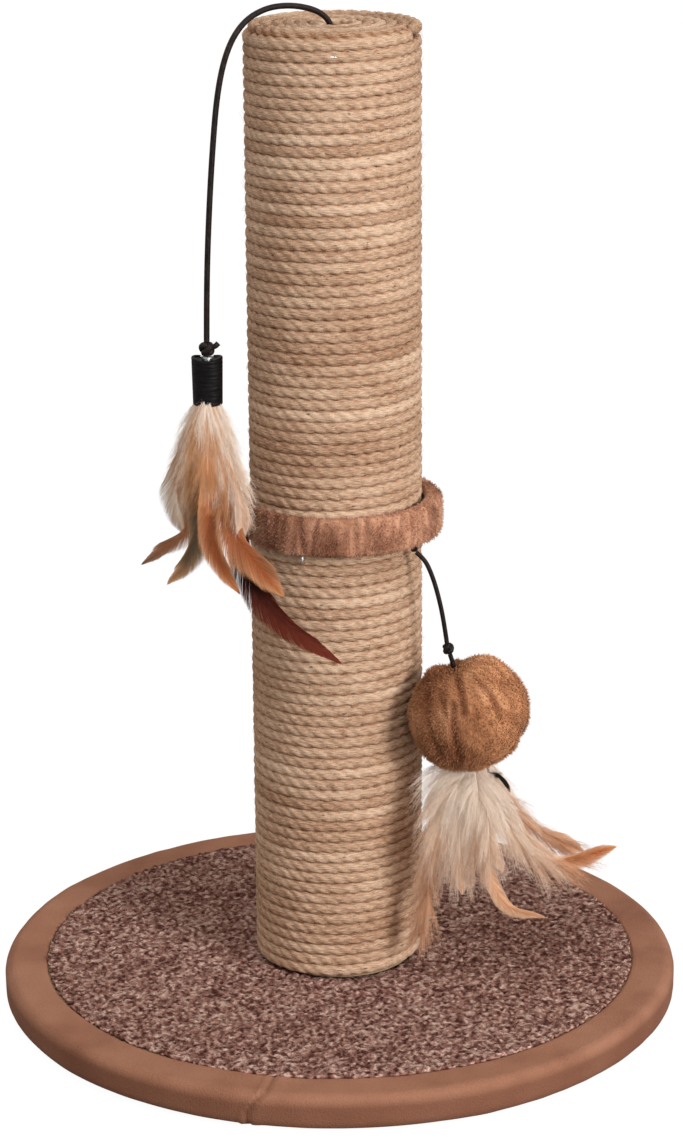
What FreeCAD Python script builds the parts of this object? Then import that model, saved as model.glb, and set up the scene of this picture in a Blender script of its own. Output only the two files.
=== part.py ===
"""A free-standing cat scratching post.

A round board, covered with carpet and edged with plush, carries a cardboard tube wound
with jute rope.  A loose plush hoop hangs round the tube and carries a ball on a cord, and
a second cord arches out of the tube's top and carries a bunch of feathers in a black cap.

Millimetres.  The origin is on the floor under the middle of the base, +Z is up, and -Y is
the front.
"""
import FreeCAD, Part
import itertools
import math
import os

import Sketcher
from FreeCAD import Placement, Rotation, Vector

doc = FreeCAD.newDocument("ScratchingPost")
sheet = doc.addObject("Spreadsheet::Sheet", "Sizes")

SIZES = [
    ("foot_radius", 11.0, "rubber foot"),
    ("foot_height", 2.5, "rubber foot, thickness"),
    ("foot_circle", 112.0, "radius of the circle that the feet stand on"),
    ("lining_radius", 129.0, "felt disc under the board"),
    ("lining_thickness", 1.0, "felt disc under the board"),
    ("lining_hole", 14.0, "radius of its hole for the bolt's head"),
    ("board_radius", 148.0, "fibreboard disc"),
    ("board_thickness", 12.0, "fibreboard disc"),
    ("board_rounding", 4.0, "rounded edges of the board"),
    ("edging_thickness", 2.5, "plush edging at the board's rim"),
    ("edging_lap", 1.5, "plush edging where it lies flat on the board"),
    ("edging_inner", 131.8, "where the edging ends on top of the board"),
    ("edging_under", 129.5, "where the edging ends under the board"),
    ("edging_rounding", 6.5, "rounded outer edges of the edging"),
    ("carpet_radius", 131.4, "carpet disc"),
    ("carpet_thickness", 2.4, "carpet disc"),
    ("carpet_rounding", 0.8, "soft upper edge of the carpet"),
    ("bolt_radius", 4.0, "furniture bolt, 8 mm"),
    ("bolt_length", 35.0, "under its head"),
    ("bolt_head_radius", 8.5, "flat head"),
    ("bolt_head_height", 3.0, "flat head"),
    ("socket_radius", 2.8, "hexagon socket, to its corners"),
    ("socket_depth", 2.0, "hexagon socket"),
    ("clearance_hole", 4.5, "radius of the bolt's hole"),
    ("washer_radius", 12.0, "large washer"),
    ("washer_thickness", 2.0, "large washer"),
    ("counterbore_radius", 13.0, "recess for the washer and the bolt's head"),
    ("counterbore_depth", 5.5, "recess for the washer and the bolt's head"),
    ("insert_radius", 6.0, "threaded insert"),
    ("insert_length", 20.0, "threaded insert"),
    ("insert_flange", 8.5, "radius of its flange"),
    ("insert_flange_height", 1.5, "its flange"),
    ("tube_radius", 32.5, "cardboard tube, outside"),
    ("tube_bore", 28.5, "cardboard tube, inside"),
    ("tube_length", 409.0, "cardboard tube"),
    ("plug_height", 30.0, "wooden plug in the tube's foot"),
    ("cap_plate", 2.0, "thickness of the cap on the tube"),
    ("cap_skirt_height", 15.0, "depth of the cap's skirt in the tube"),
    ("cap_skirt_wall", 3.0, "wall of the cap's skirt"),
    ("cap_hole", 1.6, "radius of the cord's hole in the cap"),
    ("rope_pitch", 4.85, "jute rope, one turn to the next"),
    ("rope_diameter", 4.3, "jute rope, drawn slim so that turns stay apart"),
    ("rope_circle", 35.0, "radius of the rope's middle round the tube"),
    ("rope_first_turn", 2.5, "middle of the first turn above the carpet"),
    ("rope_end_gap", 1.0, "between one length of rope and the next"),
    ("spiral_inner", 6.6, "radius at which the flat spiral on top ends"),
    ("spiral_tuck", 2.3, "how far its last turn is drawn in towards the cord"),
    ("staple_wire", 1.2, "staple wire"),
    ("staple_short", 1.0, "how far short of the tube's bore the legs end"),
    ("staple_crown", 1.9, "crown of a rope staple, outside the rope's middle"),
    ("staple_half_width", 4.0, "half the width of a rope staple"),
    ("ring_staple_width", 3.8, "staple under the hoop, leg to leg"),
    ("ring_staple_gap", 0.3, "between that staple and the hoop's lower face"),
    ("ring_staple_proud", 1.0, "how far that staple stands beyond the hoop's bore"),
    ("ring_bottom", 215.5, "hoop, height of its lower face"),
    ("ring_height", 16.0, "hoop"),
    ("ring_bore", 38.3, "hoop, radius of its hole"),
    ("ring_core_radius", 40.0, "plastic hoop inside, outer radius"),
    ("ring_core_height", 12.0, "plastic hoop inside"),
    ("ring_outer", 43.2, "hoop, outer radius"),
    ("ring_padding_shift", 2.3, "how much thicker its padding is on the right"),
    ("ring_rounding", 2.2, "rounded outer edges of the hoop"),
    ("toy_cord_diameter", 2.0, "waxed cord of the ball"),
    ("toy_anchor_radius", 1.5, "knot under the hoop"),
    ("toy_knot_radius", 2.3, "knot above the ball"),
    ("knot_gap", 0.3, "between a knot and the piece that turns on it"),
    ("ball_radius", 25.8, "ball, across"),
    ("ball_half_height", 24.6, "ball, half its height"),
    ("ball_core_radius", 21.0, "foam ball inside"),
    ("ball_quill_hole", 5.0, "radius of the hole for the quills"),
    ("ball_quill_depth", 12.0, "depth of the hole for the quills in the foam"),
    ("ball_quill_short", 3.0, "how far short of the hole's end the quills stop"),
    ("ball_dimple", 1.6, "how deep the cover is drawn in at the cord"),
    ("ball_cord_depth", 3.6, "how deep under the ball's top the cord ends"),
    ("wand_cord_diameter", 2.5, "springy cord of the feathers"),
    ("wand_knot_radius", 2.8, "knot above the black cap"),
    ("wand_stop_radius", 3.3, "knot inside the tube"),
    ("wand_stop_sunk", 0.15, "how far the cord is sunk in that knot"),
    ("wand_tail_radius", 1.15, "cut end of the cord at the knot"),
    ("wand_tail_length", 5.6, "from the middle of the knot to the cord's cut end"),
    ("wand_reach", 59.0, "from the post's axis to the black cap"),
    ("wand_pivot_height", 302.0, "height of the knot above the black cap"),
    ("ferrule_radius", 6.3, "black cap"),
    ("ferrule_height", 20.0, "black cap"),
    ("ferrule_wall", 1.2, "black cap"),
    ("ferrule_rounding", 1.6, "rounded shoulder of the black cap"),
    ("eyelet_flange", 2.8, "radius of the eyelet's flange"),
    ("eyelet_flange_height", 0.8, "eyelet's flange"),
    ("eyelet_barrel", 1.9, "radius of the eyelet's barrel"),
    ("eyelet_bore", 1.3, "radius of the eyelet's bore"),
    ("eyelet_depth", 2.4, "length of the eyelet's barrel"),
    ("feather_thickness", 0.8, "feather, across its flat"),
    ("quill_width", 1.0, "bare end of a feather"),
    ("quill_circle", 3.3, "radius of the circle that the quills stand on"),
    ("quill_depth", 12.0, "length of quill inside the black cap"),
    ("quill_clear", 0.5, "between the mouth of a hole and where a feather widens"),
]

FOOT_COUNT = 6
ROPE_TURNS = (18.0, 19.0, 23.85, 23.85)
ROPE_JOIN_ANGLE = 90.0
RING_STAPLE_ANGLE = -111.3
RING_STAPLE_COUNT = 4
FIRST_STAPLE_TURN = 0.05
LAST_STAPLE_BACK = 1.2
SPIRAL_TUCK_TURNS = 0.75
WAND_ANGLE = 205.0

for row, (alias, number, note) in enumerate(SIZES, start=1):
    sheet.set("A%d" % row, alias)
    sheet.set("B%d" % row, str(number))
    sheet.set("C%d" % row, note)
    sheet.setAlias("B%d" % row, alias)
doc.recompute()

pieces = []


# ---------------------------------------------------------------- sizes and placing

def size(alias):
    """One number of the sheet."""
    return float(getattr(sheet, alias))


def total(words):
    """The value of a sum of cells, such as 'board_radius + edging_thickness'."""
    value, sign = 0.0, 1.0
    for word in words.split():
        if word in ("+", "-"):
            sign = 1.0 if word == "+" else -1.0
        else:
            value += sign * size(word)
    return value


def formula(words):
    """The same sum as an expression on the sheet."""
    return " ".join(word if word in ("+", "-") else "Sizes." + word for word in words.split())


def keep(piece, label):
    """Name a finished sub-part and list it for writing."""
    piece.Label = label
    pieces.append(piece)
    return piece


def lift(piece, words):
    """Bind a sub-part's height to the sheet."""
    piece.setExpression("Placement.Base.z", formula(words))


def polar(radius, degrees, height=0.0):
    """A point at an angle round the post."""
    angle = math.radians(degrees)
    return Vector(radius * math.cos(angle), radius * math.sin(angle), height)


# ---------------------------------------------------------------- sketches and bodies

def new_body(label):
    """An empty body with its label, listed for writing."""
    return keep(doc.addObject("PartDesign::Body", label), label)


def new_sketch(body, role, name):
    """A sketch on one of the body's own origin planes."""
    sketch = body.newObject("Sketcher::SketchObject", name)
    plane = [item for item in body.Origin.OriginFeatures if item.Role == role][0]
    sketch.AttachmentSupport = [(plane, "")]
    sketch.MapMode = "FlatFace"
    return sketch


def add_circle(sketch, radius):
    """A circle about the sketch's origin, its radius bound to the sheet."""
    circle = sketch.addGeometry(Part.Circle(Vector(), Vector(0, 0, 1), total(radius)), False)
    sketch.addConstraint(Sketcher.Constraint("Coincident", circle, 3, -1, 1))
    number = sketch.addConstraint(Sketcher.Constraint("Radius", circle, total(radius)))
    sketch.setExpression("Constraints[%d]" % number, formula(radius))


def add_hexagon(sketch, radius):
    """A regular hexagon about the sketch's origin, its corner radius bound to the sheet."""
    corners = [polar(total(radius), 60.0 * step) for step in range(6)]
    lines = [
        sketch.addGeometry(Part.LineSegment(corners[step], corners[(step + 1) % 6]), False)
        for step in range(6)
    ]
    circle = sketch.addGeometry(Part.Circle(Vector(), Vector(0, 0, 1), total(radius)), True)
    for step, line in enumerate(lines):
        following = lines[(step + 1) % 6]
        sketch.addConstraint(Sketcher.Constraint("Coincident", line, 2, following, 1))
        sketch.addConstraint(Sketcher.Constraint("PointOnObject", line, 1, circle))
        if step:
            sketch.addConstraint(Sketcher.Constraint("Equal", lines[0], line))
    sketch.addConstraint(Sketcher.Constraint("PointOnObject", lines[0], 1, -1))
    sketch.addConstraint(Sketcher.Constraint("Coincident", circle, 3, -1, 1))
    number = sketch.addConstraint(Sketcher.Constraint("Radius", circle, total(radius)))
    sketch.setExpression("Constraints[%d]" % number, formula(radius))


def bind_corner(sketch, line, which, words):
    """Tie one coordinate of a line's start to the sheet, or to an axis where it is zero."""
    if words == "0":
        axis = -2 if which == "DistanceX" else -1
        sketch.addConstraint(Sketcher.Constraint("PointOnObject", line, 1, axis))
        return
    number = sketch.addConstraint(
        Sketcher.Constraint(which, -1, 1, line, 1, total(words)))
    sketch.setExpression("Constraints[%d]" % number, formula(words))


def add_profile(sketch, corners):
    """A closed outline whose corners are sums of cells: radius from the axis, and height."""
    values = [
        Vector(*(0.0 if words == "0" else total(words) for words in corner), 0.0)
        for corner in corners
    ]
    lines = [
        sketch.addGeometry(Part.LineSegment(start, values[(step + 1) % len(values)]), False)
        for step, start in enumerate(values)
    ]
    for step, line in enumerate(lines):
        following = lines[(step + 1) % len(lines)]
        sketch.addConstraint(Sketcher.Constraint("Coincident", line, 2, following, 1))
        bind_corner(sketch, line, "DistanceX", corners[step][0])
        bind_corner(sketch, line, "DistanceY", corners[step][1])


def pad(body, sketch, height, name):
    """Raise a sketch to a height that is bound to the sheet."""
    feature = body.newObject("PartDesign::Pad", name)
    feature.Profile = sketch
    feature.Length = total(height)
    feature.setExpression("Length", formula(height))
    doc.recompute()
    return feature


def pocket(body, sketch, depth, name, upward=True):
    """Sink a sketch into the body, and make sure that it has cut something."""
    volume = body.Shape.Volume
    feature = body.newObject("PartDesign::Pocket", name)
    feature.Profile = sketch
    feature.Reversed = upward
    feature.Length = total(depth)
    feature.setExpression("Length", formula(depth))
    doc.recompute()
    if body.Shape.Volume > volume - 1.0:
        raise RuntimeError(body.Label + ": " + name + " cuts nothing")
    return feature


def disc(label, radius, height, hole=None):
    """A round plate, with a hole through its middle where one is named."""
    body = new_body(label)
    sketch = new_sketch(body, "XY_Plane", label + "_outline")
    add_circle(sketch, radius)
    if hole:
        add_circle(sketch, hole)
    pad(body, sketch, height, label + "_plate")
    return body


def turned(label, corners):
    """A body turned about the upright axis from one outline."""
    body = new_body(label)
    sketch = new_sketch(body, "XZ_Plane", label + "_profile")
    add_profile(sketch, corners)
    feature = body.newObject("PartDesign::Revolution", label + "_turning")
    feature.Profile = sketch
    feature.ReferenceAxis = (sketch, ["V_Axis"])
    feature.Angle = 360.0
    doc.recompute()
    return body


def round_edges(body, rings, radius, name):
    """Round the circular edges that lie at the given radius and height."""
    wanted = [(total(ring[0]), 0.0 if ring[1] == "0" else total(ring[1])) for ring in rings]
    names = []
    for number, edge in enumerate(body.Shape.Edges, start=1):
        if not isinstance(edge.Curve, Part.Circle):
            continue
        found = (edge.Curve.Radius, edge.Curve.Center.z)
        if any(math.dist(found, ring) < 0.01 for ring in wanted):
            names.append("Edge%d" % number)
    feature = body.newObject("PartDesign::Fillet", name)
    feature.Base = (body.Tip if body.Tip != feature else feature.BaseFeature, names)
    feature.Radius = total(radius)
    feature.setExpression("Radius", formula(radius))
    doc.recompute()
    return feature


# ---------------------------------------------------------------- tubes, loops and lofts

def biarc(start, start_way, end, end_way):
    """Two arcs from start to end that keep both directions."""
    chord = end - start
    ways = start_way + end_way
    bend = 2.0 * (start_way.dot(end_way) - 1.0)
    slope = -2.0 * chord.dot(ways)
    reach = (-slope - math.sqrt(slope * slope - 4.0 * bend * chord.dot(chord))) / (2.0 * bend)
    first_pole = start + start_way * reach
    last_pole = end - end_way * reach
    joint = (first_pole + last_pole) * 0.5
    return [arc_by_pole(start, first_pole, joint), arc_by_pole(joint, last_pole, end)]


def arc_by_pole(start, pole, end):
    """The arc that leaves start towards the pole and reaches end from the pole."""
    middle = (start + end) * 0.5
    rise = pole - middle
    half_turn = math.atan2(rise.Length, (end - middle).Length)
    sagitta = (end - middle).Length * math.tan(half_turn * 0.5)
    return Part.Arc(start, middle + rise.normalize() * sagitta, end).toShape()


def wound_path(point_at, first, last, step, straight):
    """Biarcs along a winding from one angle to another, with a straight run at each end."""
    def way_at(angle):
        span = math.radians(0.01)
        return (point_at(angle + span) - point_at(angle - span)).normalize()

    count = int(math.ceil((last - first) / step))
    angles = [first + (last - first) * number / count for number in range(count + 1)]
    stops = [(point_at(angle), way_at(angle)) for angle in angles]
    head, head_way = stops[0]
    tail, tail_way = stops[-1]
    edges = [Part.LineSegment(head - head_way * straight, head).toShape()]
    for (start, start_way), (end, end_way) in zip(stops, stops[1:]):
        edges += biarc(start, start_way, end, end_way)
    edges.append(Part.LineSegment(tail, tail + tail_way * straight).toShape())
    return Part.Wire(edges)


def tube_on(path, diameter):
    """A round tube along a path."""
    start = path.Edges[0]
    way = start.tangentAt(start.FirstParameter)
    circle = Part.makeCircle(diameter / 2.0, start.valueAt(start.FirstParameter), way)
    return path.makePipeShell([Part.Wire(circle)], True, False)


def least_gap(path, diameter, spacing=1.5):
    """The least distance between two turns of a wound tube, measured on points."""
    points = path.discretize(Distance=spacing)
    apart = int(math.ceil(4.0 * diameter / spacing))
    least = 1000.0
    reach = int(math.ceil(2.0 * math.pi * size("rope_circle") * 1.3 / spacing))
    for index, point in enumerate(points):
        for other in points[index + apart:index + reach]:
            least = min(least, point.distanceToPoint(other))
    return least - diameter


def rounded_path(points):
    """Straight runs joined by arcs as large as the two runs allow, and the arcs' radii."""
    edges, radii = [], []
    last = points[0]
    for before, corner, after in zip(points, points[1:], points[2:]):
        back = before - corner
        onward = after - corner
        reach = 0.45 * min(back.Length, onward.Length)
        entry = corner + Vector(back).normalize() * reach
        leave = corner + Vector(onward).normalize() * reach
        half_turn = (math.pi - back.getAngle(onward)) / 2.0
        radii.append(reach / math.tan(half_turn))
        edges.append(Part.LineSegment(last, entry).toShape())
        edges.append(arc_by_pole(entry, corner, leave))
        last = leave
    edges.append(Part.LineSegment(last, points[-1]).toShape())
    return Part.Wire(edges), radii


def solid_feature(label, shape, place=None):
    """A sub-part whose shape is made here and not by a feature of its own."""
    piece = doc.addObject("Part::Feature", label)
    piece.Shape = shape
    if place:
        piece.Placement = place
    return keep(piece, label)


def cord(label, points, diameter):
    """A cord's tube along its route, with its radii and volume printed."""
    path, radii = rounded_path(points)
    tube = tube_on(path, diameter)
    section = math.pi * diameter * diameter / 4.0
    print("%s: length %.1f, radii %s, volume %.4f of section times length" % (
        label, path.Length, " ".join("%.1f" % radius for radius in radii),
        tube.Volume / (section * path.Length)))
    return solid_feature(label, tube)


def knot(label, centre, radius, through=None):
    """A round knot, drawn as a bead, cut by the cord that runs through it."""
    ball = doc.addObject("Part::Sphere", label + "_bead")
    ball.setExpression("Radius", formula(radius))
    ball.Placement = Placement(centre, Rotation())
    if through is None:
        return keep(ball, label)
    cut = doc.addObject("Part::Cut", label + "_cut")
    cut.Base = ball
    cut.Tool = through
    return keep(cut, label)


def leaf_section(spot, way, facing, width):
    """The flat four-sided section of a feather at one spot of its spine."""
    side = way.cross(facing).normalize()
    normal = side.cross(way).normalize()
    across = side * (width / 2.0)
    deep = normal * (size("feather_thickness") / 2.0)
    corners = [spot + across, spot + deep, spot - across, spot - deep]
    return Part.makePolygon(corners + corners[:1])


VANE_STATIONS = ((0.12, 0.2), (0.35, 0.75), (0.6, 1.0), (0.85, 0.65), (1.0, 0.08))


def feather(label, root, mouth, bow, tip, width, facing):
    """A feather: a straight quill from root to mouth, then a thin leaf on a bowed spine.

    Each of the leaf's stations is a share of the spine, and its share of the full width.
    """
    quill = size("quill_width")
    down = (mouth - root).normalize()
    wires = [leaf_section(spot, down, facing, quill) for spot in (root, mouth)]
    for along, share in VANE_STATIONS:
        spot = mouth * (1 - along) ** 2 + bow * (2 * along * (1 - along)) + tip * along ** 2
        way = ((bow - mouth) * (1 - along) + (tip - bow) * along).normalize()
        wires.append(leaf_section(spot, way, facing, max(quill, width * share)))
    return solid_feature(label, Part.makeLoft(wires, True, True))


# ---------------------------------------------------------------- the base

def make_feet():
    """Six round rubber pads, glued under the lining."""
    feet = []
    for number in range(FOOT_COUNT):
        foot = doc.addObject("Part::Cylinder", "foot_%d" % number)
        foot.setExpression("Radius", formula("foot_radius"))
        foot.setExpression("Height", formula("foot_height"))
        angle = 360.0 * number / FOOT_COUNT + 30.0
        foot.setExpression("Placement.Base.x", "Sizes.foot_circle * cos(%.1f deg)" % angle)
        foot.setExpression("Placement.Base.y", "Sizes.foot_circle * sin(%.1f deg)" % angle)
        feet.append(foot)
    group = doc.addObject("Part::Compound", "feet_group")
    group.Links = feet
    keep(group, "anti_slip_feet")


def make_base():
    """Lining, board, plush edging and carpet, from the floor up."""
    lining = disc("underside_lining", "lining_radius", "lining_thickness", "lining_hole")
    lift(lining, "foot_height")

    board = disc("base_board", "board_radius", "board_thickness", "clearance_hole")
    round_edges(board, [("board_radius", "0"), ("board_radius", "board_thickness")],
                "board_rounding", "board_soft_edges")
    recess = new_sketch(board, "XY_Plane", "counterbore_outline")
    add_circle(recess, "counterbore_radius")
    pocket(board, recess, "counterbore_depth", "counterbore")
    lift(board, "foot_height + lining_thickness")

    rim = "board_radius + edging_thickness"
    top = "edging_lap + board_thickness + edging_lap"
    edging = turned("rim_cover", [
        ("edging_under", "0"),
        (rim, "0"),
        (rim, top),
        ("edging_inner", top),
        ("edging_inner", "edging_lap + board_thickness"),
        ("board_radius", "edging_lap + board_thickness"),
        ("board_radius", "edging_lap"),
        ("edging_under", "edging_lap"),
    ])
    round_edges(edging, [("board_radius", "edging_lap"),
                         ("board_radius", "edging_lap + board_thickness")],
                "board_rounding", "edging_inner_corners")
    round_edges(edging, [(rim, "0"), (rim, top)], "edging_rounding", "edging_outer_corners")
    lift(edging, "foot_height + lining_thickness - edging_lap")

    carpet = disc("carpet", "carpet_radius", "carpet_thickness", "clearance_hole")
    round_edges(carpet, [("carpet_radius", "carpet_thickness")],
                "carpet_rounding", "carpet_soft_edge")
    lift(carpet, "foot_height + lining_thickness + board_thickness")


CARPET_TOP = "foot_height + lining_thickness + board_thickness + carpet_thickness"
WASHER_BOTTOM = "foot_height + lining_thickness + counterbore_depth - washer_thickness"


def make_fixings():
    """The bolt, its washer, and the insert in the plug that it screws into."""
    bolt = turned("post_bolt", [
        ("0", "0"),
        ("bolt_head_radius", "0"),
        ("bolt_head_radius", "bolt_head_height"),
        ("bolt_radius", "bolt_head_height"),
        ("bolt_radius", "bolt_head_height + bolt_length"),
        ("0", "bolt_head_height + bolt_length"),
    ])
    socket = new_sketch(bolt, "XY_Plane", "socket_outline")
    add_hexagon(socket, "socket_radius")
    pocket(bolt, socket, "socket_depth", "hexagon_socket")
    lift(bolt, WASHER_BOTTOM + " - bolt_head_height")

    washer = disc("bolt_washer", "washer_radius", "washer_thickness", "clearance_hole")
    lift(washer, WASHER_BOTTOM)

    insert = turned("threaded_insert", [
        ("bolt_radius", "0"),
        ("insert_flange", "0"),
        ("insert_flange", "insert_flange_height"),
        ("insert_radius", "insert_flange_height"),
        ("insert_radius", "insert_length"),
        ("bolt_radius", "insert_length"),
    ])
    lift(insert, CARPET_TOP)


# ---------------------------------------------------------------- the post

def make_tube():
    """The cardboard tube with the plug in its foot and the cap on its head."""
    tube = disc("post_tube", "tube_radius", "tube_length", "tube_bore")
    lift(tube, CARPET_TOP)

    plug = turned("foot_plug", [
        ("insert_flange", "0"),
        ("tube_bore", "0"),
        ("tube_bore", "plug_height"),
        ("insert_radius", "plug_height"),
        ("insert_radius", "insert_flange_height"),
        ("insert_flange", "insert_flange_height"),
    ])
    lift(plug, CARPET_TOP)

    cap = turned("top_cap", [
        ("cap_hole", "cap_skirt_height"),
        ("tube_bore - cap_skirt_wall", "cap_skirt_height"),
        ("tube_bore - cap_skirt_wall", "0"),
        ("tube_bore", "0"),
        ("tube_bore", "cap_skirt_height"),
        ("tube_radius", "cap_skirt_height"),
        ("tube_radius", "cap_skirt_height + cap_plate"),
        ("cap_hole", "cap_skirt_height + cap_plate"),
    ])
    lift(cap, CARPET_TOP + " + tube_length - cap_skirt_height")


CAP_TOP = CARPET_TOP + " + tube_length + cap_plate"


def rope_angle_of_end():
    """The angle that a rope's straight end and half the gap to the next length take."""
    return (size("rope_diameter") + size("rope_end_gap") / 2.0) / size("rope_circle")


def make_rope():
    """The rope round the tube in four lengths, and the flat spiral on the cap."""
    pitch = size("rope_pitch")
    diameter = size("rope_diameter")
    foot = total(CARPET_TOP + " + rope_first_turn")
    start_angle = math.radians(ROPE_JOIN_ANGLE)

    def round_tube(angle):
        height = foot + pitch * angle / (2.0 * math.pi)
        return polar(size("rope_circle"), math.degrees(start_angle + angle), height)

    margin = rope_angle_of_end()
    begun = 0.0
    for number, turns in enumerate(ROPE_TURNS, start=1):
        ended = begun + turns * 2.0 * math.pi
        path = wound_path(round_tube, begun + margin, ended - margin, math.pi, diameter)
        report_winding("rope_length_%d" % number, path, diameter)
        solid_feature("rope_length_%d" % number, tube_on(path, diameter))
        begun = ended

    height = total(CAP_TOP) + pitch / 2.0
    outer = size("rope_circle") - pitch
    turns = (outer - size("spiral_inner")) / pitch
    tuck = SPIRAL_TUCK_TURNS * 2.0 * math.pi
    tuck_from = turns * 2.0 * math.pi - tuck

    def on_cap(angle):
        radius = outer - pitch * angle / (2.0 * math.pi)
        tucked = max(0.0, (angle - tuck_from) / tuck)
        radius -= size("spiral_tuck") * tucked * tucked
        return polar(radius, math.degrees(start_angle + begun + angle), height)

    path = wound_path(on_cap, margin, turns * 2.0 * math.pi, math.pi / 2.0, diameter)
    report_winding("rope_top_spiral", path, diameter)
    solid_feature("rope_top_spiral", tube_on(path, diameter))


def report_winding(label, path, diameter):
    """Print how near a winding's turns come to one another."""
    print("%s: length %.0f, least gap between turns %.3f" % (
        label, path.Length, least_gap(path, diameter)))


def staple(points):
    """One wire staple along its leg, crown and leg."""
    path, _ = rounded_path(points)
    return tube_on(path, size("staple_wire"))


def make_staples():
    """Staples over the rope's ends and joints, and four that stand proud under the hoop."""
    pitch = size("rope_pitch")
    foot = total(CARPET_TOP + " + rope_first_turn")
    inside = total("tube_bore + staple_short")
    crown = total("rope_circle + staple_crown")
    spread = math.degrees(size("staple_half_width") / size("rope_circle"))
    *joins, end = itertools.accumulate(ROPE_TURNS)
    shapes = []
    for turns in (FIRST_STAPLE_TURN, *joins, end - LAST_STAPLE_BACK):
        middle = ROPE_JOIN_ANGLE + 360.0 * (turns % 1.0)
        height = foot + pitch * turns
        shapes.append(staple([
            polar(inside, middle - spread, height),
            polar(crown, middle - spread, height),
            polar(crown, middle + spread, height),
            polar(inside, middle + spread, height),
        ]))
    solid_feature("rope_staples", Part.makeCompound(shapes))

    top = total("ring_bottom - ring_staple_gap") - size("staple_wire") / 2.0
    low = top - size("ring_staple_width")
    proud = total("ring_bore + ring_staple_proud")
    shapes = []
    for number in range(RING_STAPLE_COUNT):
        angle = RING_STAPLE_ANGLE + 360.0 * number / RING_STAPLE_COUNT
        shapes.append(staple([
            polar(inside, angle, low),
            polar(proud, angle, low),
            polar(proud, angle, top),
            polar(inside, angle, top),
        ]))
    solid_feature("ring_staples", Part.makeCompound(shapes))


# ---------------------------------------------------------------- the hoop

def make_ring():
    """The plastic hoop and its plush cover, thicker on the right where the padding gathers."""
    core = disc("ring_core", "ring_core_radius", "ring_core_height", "ring_bore")
    middle = (size("ring_height") - size("ring_core_height")) / 2.0
    core.setExpression(
        "Placement.Base.z", "Sizes.ring_bottom + (Sizes.ring_height - Sizes.ring_core_height) / 2")

    cover = new_body("ring_cover")
    outline = new_sketch(cover, "XY_Plane", "ring_outline")
    circle = outline.addGeometry(
        Part.Circle(Vector(size("ring_padding_shift"), 0, 0), Vector(0, 0, 1), size("ring_outer")),
        False)
    outline.addConstraint(Sketcher.Constraint("PointOnObject", circle, 3, -1))
    number = outline.addConstraint(Sketcher.Constraint("Radius", circle, size("ring_outer")))
    outline.setExpression("Constraints[%d]" % number, formula("ring_outer"))
    number = outline.addConstraint(Sketcher.Constraint(
        "DistanceX", -1, 1, circle, 3, size("ring_padding_shift")))
    outline.setExpression("Constraints[%d]" % number, formula("ring_padding_shift"))
    add_circle(outline, "ring_bore")
    pad(cover, outline, "ring_height", "ring_padding")
    round_edges(cover, [("ring_outer", "0"), ("ring_outer", "ring_height")],
                "ring_rounding", "ring_soft_edges")
    groove_outline = new_sketch(cover, "XY_Plane", "groove_outline")
    groove_outline.AttachmentOffset = Placement(Vector(0, 0, middle), Rotation())
    groove_outline.setExpression(
        "AttachmentOffset.Base.z", "(Sizes.ring_height - Sizes.ring_core_height) / 2")
    add_circle(groove_outline, "ring_core_radius")
    pocket(cover, groove_outline, "ring_core_height", "hoop_groove")
    lift(cover, "ring_bottom")


# ---------------------------------------------------------------- the ball on its cord

TOY_ANCHOR = Vector(33.4, -25.6, 214.0)
TOY_CORD_ROUTE = [
    Vector(34.1, -25.95, 212.35),
    Vector(37.6, -27.2, 203.6),
    Vector(41.7, -28.0, 191.8),
    Vector(45.4, -28.4, 179.6),
    Vector(47.4, -28.55, 171.9),
]
TOY_KNOT = Vector(47.9, -28.6, 169.7)
BALL_MIDDLE = Vector(57.2, -29.8, 139.8)


def make_toy_cord():
    """The waxed cord between the hoop and the ball, with its knots."""
    knot("toy_anchor_knot", TOY_ANCHOR, "toy_anchor_radius")
    thread = cord("toy_cord", TOY_CORD_ROUTE, size("toy_cord_diameter"))
    knot("toy_cord_knot", TOY_KNOT, "toy_knot_radius", thread)


def ball_place():
    """Where the ball hangs: its own upright axis points at the knot above it."""
    return Placement(BALL_MIDDLE, Rotation(Vector(0, 0, 1), TOY_KNOT - BALL_MIDDLE))


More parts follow.
